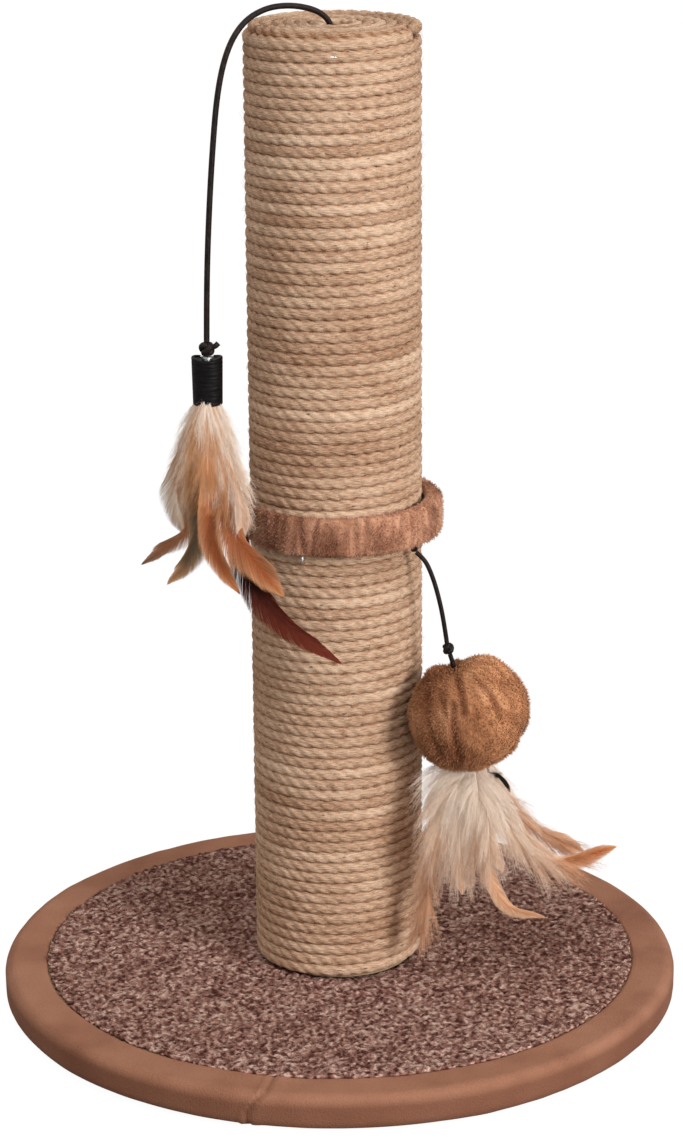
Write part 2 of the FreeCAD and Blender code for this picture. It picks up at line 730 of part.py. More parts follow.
def make_ball():
    """The foam ball, its gathered plush cover, and the last bit of cord above it."""
    radius = size("ball_radius")
    half = size("ball_half_height")
    core_radius = size("ball_core_radius")
    hole = size("ball_quill_hole")
    thread = size("toy_cord_diameter") / 2.0
    depth = size("ball_quill_depth")

    core = Part.makeSphere(core_radius)
    bore = Part.makeCylinder(hole, 2.0 * depth, Vector(0, 0, -core_radius - depth))
    solid_feature("ball_core", core.cut(bore), ball_place())

    def point(across, up):
        return Vector(across, 0, up)

    inner_top = point(thread, math.sqrt(core_radius ** 2 - thread ** 2))
    inner_foot = point(hole, -math.sqrt(core_radius ** 2 - hole ** 2))
    top = point(thread, half - size("ball_dimple"))
    foot = point(hole, -half + 0.8)
    shoulder = point(0.42 * radius, half - 0.4)
    waist = point(radius, 1.0)
    hip = point(0.74 * radius, -0.72 * half)
    edges = [
        Part.LineSegment(inner_top, top).toShape(),
        Part.Arc(top, point(0.22 * radius, half - 0.2), shoulder).toShape(),
        Part.Arc(shoulder, point(0.83 * radius, 0.62 * half), waist).toShape(),
        Part.Arc(waist, point(0.95 * radius, -0.38 * half), hip).toShape(),
        Part.Arc(hip, point(0.50 * radius, -0.90 * half), foot).toShape(),
        Part.LineSegment(foot, inner_foot).toShape(),
        Part.Arc(inner_foot, point(core_radius, 0), inner_top).toShape(),
    ]
    section = Part.Face(Part.Wire(edges))
    cover = section.revolve(Vector(), Vector(0, 0, 1), 360.0)
    solid_feature("ball_cover", cover, ball_place())

    neck = ball_place().multVec(point(0.0, half - size("ball_cord_depth")))
    way = (neck - TOY_KNOT).normalize()
    start = TOY_KNOT + way * total("toy_knot_radius + knot_gap")
    stub = doc.addObject("Part::Cylinder", "ball_cord")
    stub.setExpression("Radius", "Sizes.toy_cord_diameter / 2")
    stub.Height = (neck - start).Length
    stub.Placement = Placement(start, Rotation(Vector(0, 0, 1), way))
    keep(stub, "ball_cord")


BALL_FEATHERS = [
    (Vector(40.0, -34.0, 42.0), 11.0, 5.0),
    (Vector(41.0, -47.0, 84.0), 9.0, 4.0),
    (Vector(61.0, -52.0, 60.0), 11.0, 6.0),
    (Vector(78.0, -58.0, 68.0), 11.0, 5.0),
    (Vector(92.0, -48.0, 49.0), 10.0, 6.0),
    (Vector(120.0, -32.0, 76.0), 9.0, 9.0),
    (Vector(100.0, -14.0, 66.0), 11.0, 6.0),
    (Vector(66.0, -10.0, 70.0), 11.0, 4.0),
]


def bunch(label, feathers, root, mouth):
    """A bunch of feathers: quills on a small circle, each fanned out towards its tip.

    Each feather is given by its tip, its width, how far it bows out, and, where it doesn't
    face straight away from the bunch, the angle round the post that it faces.
    """
    down = (mouth - root).normalize()
    for number, (tip, width, bow_out, *facing) in enumerate(feathers, start=1):
        along = (tip - root).dot(down)
        outward = (tip - root - down * along).normalize()
        offset = outward * size("quill_circle")
        lean = polar(1.0, facing[0]) if facing else outward
        bow = (mouth + offset + tip) * 0.5 + lean * bow_out
        feather("%s_%d" % (label, number), root + offset, mouth + offset, bow, tip, width, lean)


def make_ball_feathers():
    """Eight feathers glued into the hole under the ball."""
    place = ball_place()
    deep = total("ball_quill_depth - ball_quill_short - ball_core_radius")
    root = place.multVec(Vector(0, 0, deep))
    mouth = place.multVec(Vector(0, 0, -total("ball_half_height + quill_clear")))
    bunch("ball_feather", BALL_FEATHERS, root, mouth)


# ---------------------------------------------------------------- the feathers on the arched cord

WAND_CORD_ROUTE = [
    (0.0, 427.0),
    (0.0, 432.8),
    (3.4, 437.7),
    (10.0, 441.0),
    (20.0, 442.9),
    (30.6, 442.1),
    (40.4, 437.0),
    (47.5, 426.6),
    (52.1, 409.6),
    (54.9, 384.0),
    (57.2, 354.0),
    (58.6, 326.0),
    (59.0, 305.1),
]


def make_wand_cord():
    """The springy cord, from the knot under the cap over the rim and down."""
    route = [polar(reach, WAND_ANGLE, height) for reach, height in WAND_CORD_ROUTE]
    line = cord("wand_cord", route, size("wand_cord_diameter"))
    under_cap = route[0] - Vector(0, 0, total("wand_stop_radius - wand_stop_sunk"))
    knot("wand_stop_knot", under_cap, "wand_stop_radius", line)


WAND_TAIL_WAY = Vector(0.96, -0.05, 0.2)


def wand_pivot():
    """The middle of the knot that the feathers swing on."""
    return polar(size("wand_reach"), WAND_ANGLE, size("wand_pivot_height"))


def make_wand_head():
    """The knot, the eyelet and the black cap that holds the quills."""
    radius = size("wand_knot_radius")
    tail = size("wand_tail_radius")
    neck = Vector(tail, 0, math.sqrt(radius ** 2 - tail ** 2))
    tip = Vector(0, 0, size("wand_tail_length"))
    edge = Vector(tail, 0, tip.z)
    outline = Part.Wire([
        Part.Arc(Vector(0, 0, -radius), Vector(radius, 0, 0), neck).toShape(),
        Part.LineSegment(neck, edge).toShape(),
        Part.LineSegment(edge, tip).toShape(),
        Part.LineSegment(tip, Vector(0, 0, -radius)).toShape(),
    ])
    bead = Part.Face(outline).revolve(Vector(), Vector(0, 0, 1), 360.0)
    solid_feature("wand_knot", bead,
                  Placement(wand_pivot(), Rotation(Vector(0, 0, 1), WAND_TAIL_WAY)))

    bored = "eyelet_bore"
    eyelet = turned("ferrule_eyelet", [
        (bored, "0"),
        ("eyelet_barrel", "0"),
        ("eyelet_barrel", "eyelet_depth"),
        ("eyelet_flange", "eyelet_depth"),
        ("eyelet_flange", "eyelet_depth + eyelet_flange_height"),
        (bored, "eyelet_depth + eyelet_flange_height"),
    ])
    ferrule = turned("ferrule", [
        ("ferrule_radius - ferrule_wall", "0"),
        ("ferrule_radius", "0"),
        ("ferrule_radius", "ferrule_height"),
        ("eyelet_barrel", "ferrule_height"),
        ("eyelet_barrel", "ferrule_height - ferrule_wall - ferrule_wall"),
        ("ferrule_radius - ferrule_wall", "ferrule_height - ferrule_wall - ferrule_wall"),
    ])
    round_edges(ferrule, [("ferrule_radius", "ferrule_height")],
                "ferrule_rounding", "ferrule_shoulder")
    below = "wand_pivot_height - wand_knot_radius - knot_gap - eyelet_flange_height"
    for piece, words in ((eyelet, below + " - eyelet_depth"), (ferrule, below + " - ferrule_height")):
        for axis, share in (("x", "cos"), ("y", "sin")):
            piece.setExpression("Placement.Base." + axis,
                                "Sizes.wand_reach * %s(%.1f deg)" % (share, WAND_ANGLE))
        lift(piece, words)


WAND_FEATHERS = [
    (Vector(-82.3, -30.0, 209.0), 9.0, 5.0),
    (Vector(-70.7, -39.0, 202.0), 10.0, 4.0),
    (Vector(-56.0, -47.0, 214.0), 11.0, 4.0),
    (Vector(-42.6, -51.0, 203.0), 10.0, 5.0),
    (Vector(-22.3, -59.0, 203.5), 9.0, 7.0),
    (Vector(2.7, -48.5, 170.0), 10.0, 11.5, -100.0),
    (Vector(-76.0, -12.0, 222.0), 11.0, 4.0),
    (Vector(-60.0, -2.0, 232.0), 10.0, 2.0),
]


def make_wand_feathers():
    """Eight feathers glued into the black cap."""
    pivot_gap = size("wand_knot_radius") + total("knot_gap + eyelet_flange_height")
    mouth = wand_pivot() - Vector(0, 0, pivot_gap + total("ferrule_height + quill_clear"))
    root = mouth + Vector(0, 0, size("quill_depth"))
    bunch("wand_feather", WAND_FEATHERS, root, mouth)


# ---------------------------------------------------------------- making and writing

make_feet()
make_base()
make_fixings()
make_tube()
make_rope()
make_staples()
make_ring()
make_toy_cord()
make_ball()
make_ball_feathers()
make_wand_cord()
make_wand_head()
make_wand_feathers()
doc.recompute()

for item in doc.Objects:
    if "Invalid" in item.State or "Error" in item.State:
        raise RuntimeError("%s failed: %s" % (item.Label, item.State))
for piece in pieces:
    if piece.Shape.isNull() or not piece.Shape.isValid():
        raise RuntimeError(piece.Label + " has no valid shape")

os.makedirs("parts", exist_ok=True)
for piece in pieces:
    piece.Shape.exportStep(os.path.join("parts", piece.Label + ".step"))
print("%d nodes written" % len(pieces))
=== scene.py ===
"""The finish of a cat scratching post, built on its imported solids.

Metres, in the solids' own frame: the floor is at z = 0, the post stands at the origin and
-Y is the front.  After the camera and the two cords, the post goes together from the floor
up: base, carpet, tube, rope, hoop, ball and feathers.
"""
import math

import bpy
import numpy as np
from mathutils import Matrix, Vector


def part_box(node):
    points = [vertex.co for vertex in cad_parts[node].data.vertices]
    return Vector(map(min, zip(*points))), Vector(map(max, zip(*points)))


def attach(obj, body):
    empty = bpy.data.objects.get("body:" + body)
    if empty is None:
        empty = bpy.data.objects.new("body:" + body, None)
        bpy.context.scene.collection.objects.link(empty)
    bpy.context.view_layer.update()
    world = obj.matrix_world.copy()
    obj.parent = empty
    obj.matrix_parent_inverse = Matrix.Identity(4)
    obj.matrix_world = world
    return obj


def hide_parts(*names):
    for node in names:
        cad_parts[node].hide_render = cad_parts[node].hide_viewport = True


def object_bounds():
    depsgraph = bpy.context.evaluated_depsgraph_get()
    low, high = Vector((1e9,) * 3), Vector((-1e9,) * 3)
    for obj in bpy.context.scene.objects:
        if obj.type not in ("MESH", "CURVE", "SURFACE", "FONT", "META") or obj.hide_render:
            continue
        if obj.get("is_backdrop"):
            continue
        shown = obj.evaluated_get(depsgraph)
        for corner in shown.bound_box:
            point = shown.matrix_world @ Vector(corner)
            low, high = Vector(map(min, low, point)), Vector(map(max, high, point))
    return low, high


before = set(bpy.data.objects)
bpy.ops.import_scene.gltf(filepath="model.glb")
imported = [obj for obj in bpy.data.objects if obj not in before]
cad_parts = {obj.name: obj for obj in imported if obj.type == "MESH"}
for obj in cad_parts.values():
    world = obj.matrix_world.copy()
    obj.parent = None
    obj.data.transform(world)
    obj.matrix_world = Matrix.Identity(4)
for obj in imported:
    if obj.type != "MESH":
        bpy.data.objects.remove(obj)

CAD_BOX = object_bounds()


# ------------------------------------------------------------------ camera
# It stands 1.4 m in front of the post, a little above its top, and looks down at it
# through a long lens, as the photograph was taken.

CAMERA_SPOT = (0.00808, -1.37618, 0.62708)
CAMERA_TURN = 0.246
CAMERA_TILT = 17.347
CAMERA_ROLL = -0.454
CAMERA_LENS = 104.73

camera = bpy.data.objects.new("camera", bpy.data.cameras.new("camera"))
camera.data.lens = CAMERA_LENS
camera.data.sensor_width = 36.0
camera.matrix_world = (
    Matrix.Translation(CAMERA_SPOT)
    @ Matrix.Rotation(math.radians(CAMERA_TURN), 4, "Z")
    @ Matrix.Rotation(math.radians(90.0 - CAMERA_TILT), 4, "X")
    @ Matrix.Rotation(math.radians(CAMERA_ROLL), 4, "Z")
)
bpy.context.scene.collection.objects.link(camera)
bpy.context.scene.camera = camera


# ------------------------------------------------------------------ the two cords
# Black waxed cord, round and a little uneven.  A stiff one arches out of the middle of the
# post's top and carries the feathers; a thin limp one hangs from the hoop to the ball.

def colour(red, green, blue):
    """A colour as a screen shows it, 0 to 255, in a shader's linear values."""
    shares = (red / 255.0, green / 255.0, blue / 255.0)
    return tuple(((share + 0.055) / 1.055) ** 2.4 for share in shares) + (1.0,)


def new_finish(name, **constants):
    """A material with one surface shader, whose constants sit on the shader's own sockets."""
    material = bpy.data.materials.new(name)
    material.use_nodes = True
    shader = material.node_tree.nodes["Principled BSDF"]
    for word, value in constants.items():
        socket = word.replace("_", " ").title().replace("Ior", "IOR")
        shader.inputs[socket].default_value = value
    return material


def node(material, kind, sockets, **settings):
    """A shader node: its settings, and its sockets, each given a value or wired to an output."""
    made = material.node_tree.nodes.new("ShaderNode" + kind)
    for word, value in settings.items():
        setattr(made, word, value)
    for socket, value in sockets.items():
        if isinstance(value, bpy.types.NodeSocket):
            material.node_tree.links.new(value, made.inputs[socket])
        else:
            made.inputs[socket].default_value = value
    return made


def where(material):
    """A point of the piece at rest, in metres."""
    return node(material, "TexCoord", {}).outputs["Object"]


def stored(material, name):
    """A value that the mesh holds at each of its points."""
    return node(material, "Attribute", {}, attribute_name=name).outputs["Fac"]


def cloud(material, place, grain, detail=3.0, stretch=(1.0, 1.0, 1.0)):
    """Cloudy noise with blots about grain across, drawn out along an axis by a small stretch."""
    scaled = node(material, "Mapping", {"Vector": place, "Scale": stretch}).outputs[0]
    sockets = {"Vector": scaled, "Scale": 1.0 / grain, "Detail": detail}
    return node(material, "TexNoise", sockets).outputs[0]


def ramp(material, share, *stops):
    """Colours laid along a share from 0 to 1."""
    made = node(material, "ValToRGB", {"Fac": share})
    elements = made.color_ramp.elements
    elements[0].position, elements[0].color = stops[0]
    elements[1].position, elements[1].color = stops[-1]
    for place, shade in stops[1:-1]:
        elements.new(place).color = shade
    return made.outputs["Color"]


def mixed(material, share, first, second, way="MIX"):
    """Two colours mixed, or one laid over the other in another way."""
    sockets = {0: share, 6: first, 7: second}
    return node(material, "Mix", sockets, data_type="RGBA", blend_type=way).outputs[2]


def sums(material, way, first, second):
    """One step of arithmetic on values."""
    return node(material, "Math", {0: first, 1: second}, operation=way).outputs[0]


def weighed(material, *parts):
    """Values added up, each with its own weight."""
    total = 0.0
    for value, weight in parts:
        total = sums(material, "ADD", sums(material, "MULTIPLY", value, weight), total)
    return total


def surfaced(material, shade, relief=None, depth=0.0, rough=None):
    """Wires the colour and, where they are given, the relief and the roughness."""
    tree = material.node_tree
    shader = tree.nodes["Principled BSDF"]
    tree.links.new(shade, shader.inputs["Base Color"])
    if relief is not None:
        bump = node(material, "Bump", {"Height": relief, "Distance": depth, "Strength": 1.0})
        tree.links.new(bump.outputs[0], shader.inputs["Normal"])
    if rough is not None:
        tree.links.new(rough, shader.inputs["Roughness"])
    return material


def waxed_cord():
    """Black with brown blots of painted sheen, and fine flutes along the yarn."""
    made = new_finish("waxed_cord", roughness=0.55, specular_ior_level=0.2)
    spot = where(made)
    painted_sheen = cloud(made, spot, 0.006)
    yarn = cloud(made, spot, 0.0011, 2.0, (1.0, 1.0, 0.25))
    # Brown blots of painted sheen laid over the black.
    shade = ramp(made, painted_sheen, (0.35, colour(9, 6, 7)), (0.75, colour(36, 22, 19)))
    return surfaced(made, shade, yarn, 0.0006)


def settle(piece, finish, body, slot, *nodes):
    """Gives a piece its finish and body, in place of the solids that it stands for; its slot is not
    used.
    """
    piece.data.materials.append(finish)
    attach(piece, body)
    if nodes:
        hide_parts(*nodes)
    return piece


def round_axis(reach, turns, height):
    """Points at a reach from the upright axis, at angles round it and at a height."""
    spots = (reach * np.cos(turns), reach * np.sin(turns), height)
    return np.stack(np.broadcast_arrays(*spots), -1)


def polar(radius, degrees, height=0.0):
    """A point at an angle round the post."""
    return round_axis(radius, math.radians(degrees), height)


def cord_piece(name, route, diameter):
    """A round cord on a smooth spline, with the route's points as its control points."""
    curve = bpy.data.curves.new(name, "CURVE")
    curve.dimensions = "3D"
    curve.bevel_depth = diameter / 2.0
    curve.bevel_resolution = 5
    curve.resolution_u = 10
    curve.use_fill_caps = True
    spline = curve.splines.new("NURBS")
    spline.points.add(len(route) - 1)
    for point, spot in zip(spline.points, route):
        point.co = (*spot, 1.0)
    spline.order_u = 3
    spline.use_endpoint_u = True
    piece = bpy.data.objects.new(name, curve)
    bpy.context.scene.collection.objects.link(piece)
    return piece


WAXED = waxed_cord()
WAND_ANGLE = 205.0
WAND_DIAMETER = 0.0025
WAND_ROUTE = (
    (0.0, 0.427),
    (0.0, 0.4328),
    (0.0034, 0.4377),
    (0.010, 0.441),
    (0.020, 0.4429),
    (0.0306, 0.4421),
    (0.0404, 0.437),
    (0.0475, 0.4266),
    (0.0521, 0.4096),
    (0.0549, 0.384),
    (0.0572, 0.354),
    (0.0586, 0.326),
    (0.059, 0.3051),
)
TOY_DIAMETER = 0.002
TOY_ROUTE = (
    (0.0341, -0.02595, 0.21235),
    (0.0374, -0.0268, 0.2100),
    (0.0404, -0.0275, 0.2042),
    (0.0433, -0.0280, 0.1950),
    (0.0459, -0.0284, 0.1830),
    (0.0474, -0.02855, 0.1719),
)

wand_route = [polar(reach, WAND_ANGLE, height) for reach, height in WAND_ROUTE]
wand_line = settle(cord_piece("wand_line", wand_route, WAND_DIAMETER),
                   WAXED, "wand_cord", "black_cord", "wand_cord")
toy_line = settle(cord_piece("toy_line", TOY_ROUTE, TOY_DIAMETER),
                  WAXED, "toy_cord", "black_cord", "toy_cord")


# ------------------------------------------------------------------ knots
# Each cord is tied off in a tight overhand knot: under the hoop, above the ball, inside
# the tube and above the black cap, where the cut end of the stiff cord sticks out.

def shape(name, points, *faces):
    """A smooth mesh from points and arrays of faces, turned outside out if need be."""
    points = np.asarray(points, float).reshape(-1, 3)
    faces = [np.asarray(group, int) for group in faces]
    volume = 0.0
    for group in faces:
        first = points[group[:, 0]]
        for step in range(1, group.shape[1] - 1):
            normal = np.cross(points[group[:, step]], points[group[:, step + 1]])
            volume += float((first * normal).sum())
    if volume < 0.0:
        faces = [group[:, ::-1] for group in faces]
    corners = np.concatenate([group.ravel() for group in faces])
    counts = np.concatenate([np.full(len(group), group.shape[1]) for group in faces])
    mesh = bpy.data.meshes.new(name)
    mesh.vertices.add(len(points))
    mesh.vertices.foreach_set("co", points.astype(np.float32).ravel())
    mesh.loops.add(len(corners))
    mesh.loops.foreach_set("vertex_index", corners.astype(np.int32))
    mesh.polygons.add(len(counts))
    mesh.polygons.foreach_set("loop_start", (np.cumsum(counts) - counts).astype(np.int32))
    mesh.update(calc_edges=True)
    mesh.shade_smooth()
    piece = bpy.data.objects.new(name, mesh)
    bpy.context.scene.collection.objects.link(piece)
    return piece


def hold(piece, **values):
    """Stores values at a mesh's points, for its finish to read."""
    for name, numbers in values.items():
        flat = np.ascontiguousarray(numbers, np.float32).ravel()
        piece.data.attributes.new(name, "FLOAT", "POINT").data.foreach_set("value", flat)
    return piece


def net(rows, columns, round_rows=False):
    """The four-sided faces of a net, closed along its columns and, if asked, its rows."""
    row = np.arange(rows if round_rows else rows - 1)[:, None]
    column = np.arange(columns)[None, :]
    beside = (column + 1) % columns
    next_row = (row + 1) % rows * columns
    row = row * columns
    corners = (row + column, row + beside, next_row + beside, next_row + column)
    return np.stack([corner.ravel() for corner in corners], -1)


def end_faces(rows, columns):
    """The two faces that close the ends of a tube of rings."""
    ring = np.arange(columns)
    return np.stack([ring[::-1], ring + (rows - 1) * columns])


def capped(name, rings):
    """A tube of rings, closed at both ends."""
    rows, columns = rings.shape[:2]
    return shape(name, rings, net(rows, columns), end_faces(rows, columns))


def looped(name, rings):
    """A tube of rings that runs back into its own start."""
    return shape(name, rings, net(*rings.shape[:2], round_rows=True))


def unit(vectors):
    """The same directions, one long."""
    vectors = np.asarray(vectors, float)
    return vectors / np.maximum(np.linalg.norm(vectors, axis=-1, keepdims=True), 1e-12)


def swept(line, lean, ring, closed=False):
    """Rings of points along a line; ring holds (across, up) pairs, up being where it leans."""
    line = np.asarray(line, float)
    if closed:
        way = unit(np.roll(line, -1, 0) - np.roll(line, 1, 0))
    else:
        way = unit(np.gradient(line, axis=0))
    across = unit(np.cross(way, lean))[:, None]
    up = np.cross(across[:, 0], way)[:, None]
    ring = np.broadcast_to(ring, (len(line),) + np.shape(ring)[-2:])
    return line[:, None] + across * ring[..., :1] + up * ring[..., 1:]


def full_turn(count):
    """Evenly spaced angles round a full turn."""
    return np.arange(count) * (2.0 * math.pi / count)


def circle(count, radius=1.0):
    """Points of a circle as pairs."""
    turn = full_turn(count)
    return np.stack([np.cos(turn), np.sin(turn)], -1) * radius


def knot(name, middle, radius, way, body, node_name):
    """A pulled-tight overhand knot, about a ball in size, round the way that its cord runs."""
    turn = full_turn(KNOT_STATIONS)
    local = round_axis(2.0 + np.cos(3.0 * turn), 2.0 * turn, KNOT_DEPTH * np.sin(3.0 * turn))
    thick = KNOT_CORD * radius
    local = local * (radius - thick) / 3.0
    axis = unit(way)
    side = unit(np.cross(axis, KNOT_SIDE))
    line = local @ np.stack([side, np.cross(axis, side), axis])
    rings = swept(line, line, circle(KNOT_SIDES, thick), closed=True) + middle
    return settle(looped(name, rings), WAXED, body, "black_cord", node_name)


def middle_of(node_name):
    """The middle of a solid's box."""
    low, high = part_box(node_name)
    return (np.array(low) + np.array(high)) / 2.0


UPRIGHT = np.array((0.0, 0.0, 1.0))
KNOT_STATIONS, KNOT_SIDES = 96, 14
KNOT_DEPTH = 2.3
KNOT_CORD = 0.42
KNOT_SIDE = (0.3, 1.0, 0.1)
HOOP_KNOT_RADIUS, BALL_KNOT_RADIUS = 0.0017, 0.0027
STOP_KNOT_RADIUS, CAP_KNOT_RADIUS = 0.0033, 0.0035
WAND_PIVOT = polar(0.059, WAND_ANGLE, 0.302)
TOY_KNOT = np.array((0.0479, -0.0286, 0.1697))
TAIL_ROUTE = ((0.0, 0.0, 0.0), (0.0022, 0.0, 0.0004), (0.0038, 0.0, 0.0012), (0.0048, 0.0, 0.0022))
TAIL_RADIUS = 0.00118
TAIL_SIDES = 16

toy_way = np.subtract(TOY_ROUTE[-1], TOY_ROUTE[0])
hoop_knot = knot("hoop_knot", middle_of("toy_anchor_knot"), HOOP_KNOT_RADIUS, toy_way,
                 "ring", "toy_anchor_knot")
ball_knot = knot("ball_knot", TOY_KNOT, BALL_KNOT_RADIUS, toy_way, "toy_cord", "toy_cord_knot")
stop_knot = knot("stop_knot", middle_of("wand_stop_knot"), STOP_KNOT_RADIUS, UPRIGHT,
                 "wand_cord", "wand_stop_knot")
cap_knot = knot("cap_knot", WAND_PIVOT, CAP_KNOT_RADIUS, UPRIGHT, "wand_knot", "wand_knot")
tail = capped("cap_knot_tail", swept(WAND_PIVOT + np.array(TAIL_ROUTE), (0.0, 1.0, 0.0),
                                     circle(TAIL_SIDES, TAIL_RADIUS)))
settle(tail, WAXED, "wand_knot", "black_cord")


# ------------------------------------------------------------------ feet and lining
# Six moulded rubber pads are glued to a felt disc that covers the board's underside.

def dress(material, *names):
    """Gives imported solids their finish."""
    for name in names:
        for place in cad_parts[name].material_slots:
            place.material = material


def speckled(name, grain, dark, light, depth, **constants):
    """A plain finish of two colours in fine grain over broad blots, with relief to match."""
    made = new_finish(name, **constants)
    spot = where(made)
    fine = cloud(made, spot, grain, 4.0)
    broad = cloud(made, spot, grain * 14.0, 2.0)
    share = weighed(made, (fine, 0.65), (broad, 0.35))
    return surfaced(made, ramp(made, share, (0.36, dark), (0.64, light)), fine, depth)


dress(speckled("moulded_rubber", 0.0012, colour(34, 33, 34), colour(58, 56, 56), 0.0002,
               roughness=0.75), "anti_slip_feet")
dress(speckled("needled_felt", 0.0009, colour(62, 50, 46), colour(94, 78, 70), 0.0006,
               roughness=0.95, sheen_weight=0.2), "underside_lining")
dress(WAXED, "ball_cord")


# ------------------------------------------------------------------ board, bolt and plug
# A 12 mm fibreboard disc.  A bright 8 mm bolt with a large washer comes up through it into
# a threaded insert in the pine plug that is glued into the post's foot.

def bright_metal(name, low, high):
    """Bright zinc, with the fine marks that turning and handling leave."""
    made = new_finish(name, metallic=1.0, roughness=0.3)
    spot = where(made)
    marks = cloud(made, spot, 0.0006, 2.0, (0.4, 0.4, 3.0))
    tarnish = cloud(made, spot, 0.006)
    rough = weighed(made, (tarnish, 0.5))
    return surfaced(made, ramp(made, tarnish, (0.3, low), (0.7, high)), marks, 0.0001, rough)


def turned_pine():
    """Pale pine: yearly rings as drawn-out bands, with fine pores."""
    made = new_finish("turned_pine", roughness=0.6)
    spot = where(made)
    bands = cloud(made, spot, 0.004, 4.0, (1.0, 0.12, 0.12))
    pores = cloud(made, spot, 0.0008, 3.0, (0.1, 1.0, 1.0))
    shade = ramp(made, bands, (0.35, colour(176, 132, 84)), (0.6, colour(214, 178, 128)))
    return surfaced(made, shade, pores, 0.0002)


dress(speckled("fibreboard", 0.0006, colour(136, 104, 72), colour(176, 142, 104), 0.00015,
               roughness=0.8), "base_board")
dress(bright_metal("zinc_plate", colour(168, 168, 172), colour(204, 204, 206)),
      "post_bolt", "bolt_washer", "threaded_insert")
dress(turned_pine(), "foot_plug")


# ------------------------------------------------------------------ plush edging
# A strip of short brown velvet plush over thin padding, pulled round the board's rim and
# glued under the lining.  Its two ends meet in a raised crease at the front left.

def velvet(name, deep, middle, pale, nap=0.03, pile=0.0007, even=0.16):
    """Short plush: its nap lies in soft patches, fainter where it is even, and its tips are pale;
    painted highlights and painted shade go on where the piece holds them.
    """
    made = new_finish(name, roughness=0.9, specular_ior_level=0.25, sheen_weight=0.08)
    made.node_tree.nodes["Principled BSDF"].inputs["Sheen Tint"].default_value = pale
    spot = where(made)
    patches = cloud(made, spot, nap)
    fine = cloud(made, spot, pile)
    share = weighed(made, (patches, 0.72), (fine, 0.28))
    shade = ramp(made, share, (0.5 - even, deep), (0.5, middle), (0.5 + even, pale))
    # Paler towards pale tips and painted highlights, darker where the piece holds painted shade.
    shade = mixed(made, weighed(made, (stored(made, "tip"), 0.55)), shade, pale)
    shade = mixed(made, weighed(made, (stored(made, "fold"), 0.85)), shade, deep)
    return surfaced(made, shade, fine, 0.6 * pile)


def waves(points, length, seed, count=10):
    """A smooth field of ripples about length apart, between -1 and 1."""
    draw = np.random.default_rng(seed)
    ways = unit(draw.normal(size=(count, 3))) * (2.0 * math.pi / length)
    ways *= draw.uniform(0.7, 1.3, (count, 1))
    phases = draw.uniform(0.0, 2.0 * math.pi, count)
    return np.sin(np.asarray(points) @ ways.T + phases).mean(-1) * math.sqrt(2.0)


def rippled(points, rows, seed=0):
    """Ripples added up, each row with its height, its length and a number for its draw."""
    return sum(height * waves(points, length, seed + number) for height, length, number in rows)


def rounded(corners, step):
    """A closed outline from corners, each with a radius if it is rounded, filled in by step."""
    spots = [np.array(corner[:2]) for corner in corners]
    radii = [corner[2] if len(corner) > 2 else 0.0 for corner in corners]
    points = []
    for index, (spot, radius) in enumerate(zip(spots, radii)):
        if not radius:
            points.append(spot)
            continue
        back = unit(spots[index - 1] - spot)
        onward = unit(spots[(index + 1) % len(spots)] - spot)
        half = math.acos(float(np.clip(back @ onward, -1.0, 1.0))) / 2.0
        centre = spot + unit(back + onward) * radius / math.sin(half)
        start = spot + back * radius / math.tan(half) - centre
        end = spot + onward * radius / math.tan(half) - centre
        count = max(2, int(radius * (math.pi - 2.0 * half) / step) + 1)
        for share in np.linspace(0.0, 1.0, count + 1):
            points.append(centre + unit(start * (1.0 - share) + end * share) * radius)
    filled = []
    for spot, following in zip(points, points[1:] + points[:1]):
        count = max(1, round(float(np.linalg.norm(following - spot)) / step))
        filled += [spot + (following - spot) * number / count for number in range(count)]
    return np.array(filled)


def turned(outline, turns):
    """Rings round the upright axis: their points, and which way is out of the outline."""
    slope = unit(np.roll(outline, -1, 0) - np.roll(outline, 1, 0))
    turns = turns[:, None]
    return (round_axis(outline[:, 0], turns, outline[:, 1]),
            round_axis(slope[:, 1], turns, -slope[:, 0]))


def valley(aside, width):
    """A smooth dip, 1 in its middle and nothing about two widths away."""
    return np.exp(-(aside / width) ** 2)


EDGE_OUTER = 0.1505
EDGE_OUTLINE = (
    (0.1295, 0.0020),
    (EDGE_OUTER, 0.0020, 0.0045),
    (EDGE_OUTER, 0.0175, 0.0050),
    (0.1316, 0.0172, 0.0009),
    (0.1316, 0.0156),
    (0.1482, 0.0156),
    (0.1482, 0.0034),
    (0.1295, 0.0034),
)
EDGE_INNER = 0.1484
EDGE_LAP = 0.0158
EDGE_STATIONS = 620
CREASE_SIDE = -105.0
CREASE_TOP = -102.2
EDGE_RIPPLES = ((0.00035, 0.05, 11), (0.00012, 0.014, 12))
CREASE_FORM = ((0.0007, -0.0010, 0.0011), (0.0004, 0.0040, 0.0030), (-0.0011, 0.0008, 0.0009))
PLUSH_BROWN = velvet("plush_brown", colour(104, 62, 45), colour(156, 110, 87),
                     colour(178, 134, 111), even=0.42)

outline = rounded(EDGE_OUTLINE, 0.0011)
turns = full_turn(EDGE_STATIONS)
flat, out = turned(outline, turns)
showing = (outline[:, 0] > EDGE_INNER) | (outline[:, 1] > EDGE_LAP)
rise = np.clip((outline[:, 1] - 0.006) / 0.011, 0.0, 1.0)
crease = np.radians(CREASE_SIDE + (CREASE_TOP - CREASE_SIDE) * rise ** 2) % (2.0 * math.pi)
aside = (turns[:, None] - crease) * EDGE_OUTER
swell = rippled(flat, EDGE_RIPPLES)
for height, offset, width in CREASE_FORM:
    swell += height * valley(aside - offset, width)
edging = looped("plush_edging", flat + out * (swell * showing)[..., None])
# Painted shade: the edging's side is darker than its top.
painted_shade = 0.7 * np.clip((EDGE_LAP - outline[:, 1]) / 0.0035, 0.0, 1.0)
